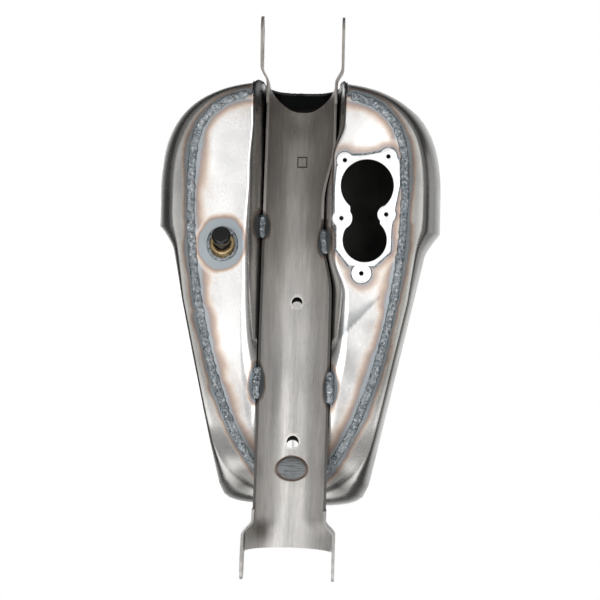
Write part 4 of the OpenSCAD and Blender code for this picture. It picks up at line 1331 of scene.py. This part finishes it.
put("weld_spatter", *join(parts), [M["weld"]], "tank", "weld_bead", sharp=80)

# ---------------------------------------------------------------- stamped mark in the channel
mark_x, mark_y, mark_half, mark_w = 163.0, 1.2, 6.6, 1.5
square = [(-1, -1), (1, -1), (1, 1), (-1, 1)]
verts = []
for inward in (0.03, -0.25):
    for size in (mark_half, mark_half - mark_w):
        for cx, cy in square:
            x, y = mark_x + cx * size, mark_y + cy * size * 0.9
            w = channel_w(x, 1 if y > 0 else 0) - PLATE - inward
            r = CHANNEL_R - PLATE - inward
            verts.append((x, y, edge_z(x) + r * math.sqrt(1 - (y / w) ** 2)))
faces = []
for k in range(4):
    n = (k + 1) % 4
    faces += [(k, n, 4 + n, 4 + k), (8 + k, 12 + k, 12 + n, 8 + n), (k, 8 + k, 8 + n, n),
              (4 + k, 4 + n, 12 + n, 12 + k)]
put("channel_mark", verts, faces, [M["stamp"]], "tank", "channel_steel", sharp=30)

# ---------------------------------------------------------------- floor, light and camera
FLOOR_Z, FLOOR_HALF = -2.32, 9
floor_mesh = bpy.data.meshes.new("floor")
floor_mesh.from_pydata([(x * FLOOR_HALF, y * FLOOR_HALF, FLOOR_Z) for x, y in square], [],
                       [(0, 1, 2, 3)])
floor = shown("floor", floor_mesh)
pale = bpy.data.materials.new("pale_floor")
pale.use_nodes = True
for k, v in (("Base Color", (0.86, 0.86, 0.86, 1)), ("Roughness", 0.8)):
    pale.node_tree.nodes["Principled BSDF"].inputs[k].default_value = v
floor_mesh.materials.append(pale)

world = bpy.data.worlds.new("studio")
bpy.context.scene.world = world
world.use_nodes = True
tree = world.node_tree
tree.nodes.clear()
sky = {k: tree.nodes.new("ShaderNode" + kind) for k, kind in (
    ("out", "OutputWorld"), ("mix", "MixShader"), ("path", "LightPath"), ("seen", "Background"),
    ("lit", "Background"), ("place", "TexCoord"), ("axes", "SeparateXYZ"), ("half", "Math"),
    ("ramp", "ValToRGB"))}
sky["half"].operation = "MULTIPLY_ADD"
for node, k, v in (("half", 1, 0.5), ("half", 2, 0.5), ("seen", 0, (1, 1, 1, 1)), ("seen", 1, 1.0),
                   ("lit", 1, 1.0)):
    sky[node].inputs[k].default_value = v
# from straight down, through the horizon at a half, to straight up
for at, grey in ((0.0, 0.60), (0.15, 0.34), (0.34, 0.08), (0.5, 0.045), (0.75, 0.06), (1.0, 0.30)):
    e = sky["ramp"].color_ramp.elements
    k = e[0] if at == 0.0 else e[1] if at == 1.0 else e.new(at)
    k.color = (grey, grey, grey * 1.01, 1)
for a, k, b, n in (("place", "Generated", "axes", 0), ("axes", 2, "half", 0),
                   ("half", 0, "ramp", 0), ("ramp", 0, "lit", 0),
                   ("path", "Is Camera Ray", "mix", 0), ("lit", 0, "mix", 1),
                   ("seen", 0, "mix", 2), ("mix", 0, "out", 0)):
    tree.links.new(sky[a].outputs[k], sky[b].inputs[n])

# name, place, size and power of each softbox, all turned to the tank's middle
MIDDLE = Vector((-0.30, 0.0, 0.0))
for name, at, size, power in (("key_above", (-0.1, -0.5, 2.0), (2.4, 1.6), 20),
                              ("fill_left", (-0.3, 2.3, 0.9), (1.6, 1.2), 3),
                              ("below_right", (-0.1, 0.75, -1.75), (0.9, 1.3), 9),
                              ("behind_low", (-2.3, -0.4, -0.7), (2.4, 2.0), 20),
                              ("below_left", (-0.35, -0.85, -1.75), (0.9, 1.3), 8)):
    light = bpy.data.lights.new(name, "AREA")
    light.shape = "RECTANGLE"
    light.size, light.size_y = size
    light.energy = power
    box = shown(name, light)
    box.location = at
    box.rotation_euler = (MIDDLE - Vector(at)).to_track_quat("-Z", "Y").to_euler()
    box.visible_camera = False

# the camera looks straight up from below, with the tank's front at the top of the picture
CAMERA_BELOW, SIDEWAYS, ROLL, LENS_MM = 2.0, 0.075, 1.335, 106.0
AIM = Vector((-0.313, 0.0056, -0.058))
cam_data = bpy.data.cameras.new("camera")
cam_data.lens, cam_data.sensor_width = LENS_MM, 36.0
cam_data.clip_start, cam_data.clip_end = 0.01, 50
cam = shown("camera", cam_data)
spot = Vector((AIM.x, AIM.y + SIDEWAYS, AIM.z - CAMERA_BELOW))
look = (AIM - spot).normalized()
right = look.cross(Vector((cosd(ROLL), -sind(ROLL), 0))).normalized()
turn = Matrix((right, right.cross(look).normalized(), -look)).transposed()
cam.matrix_world = Matrix.Translation(spot) @ turn.to_4x4()
bpy.context.scene.camera = cam
bpy.context.scene.view_settings.view_transform = "Standard"
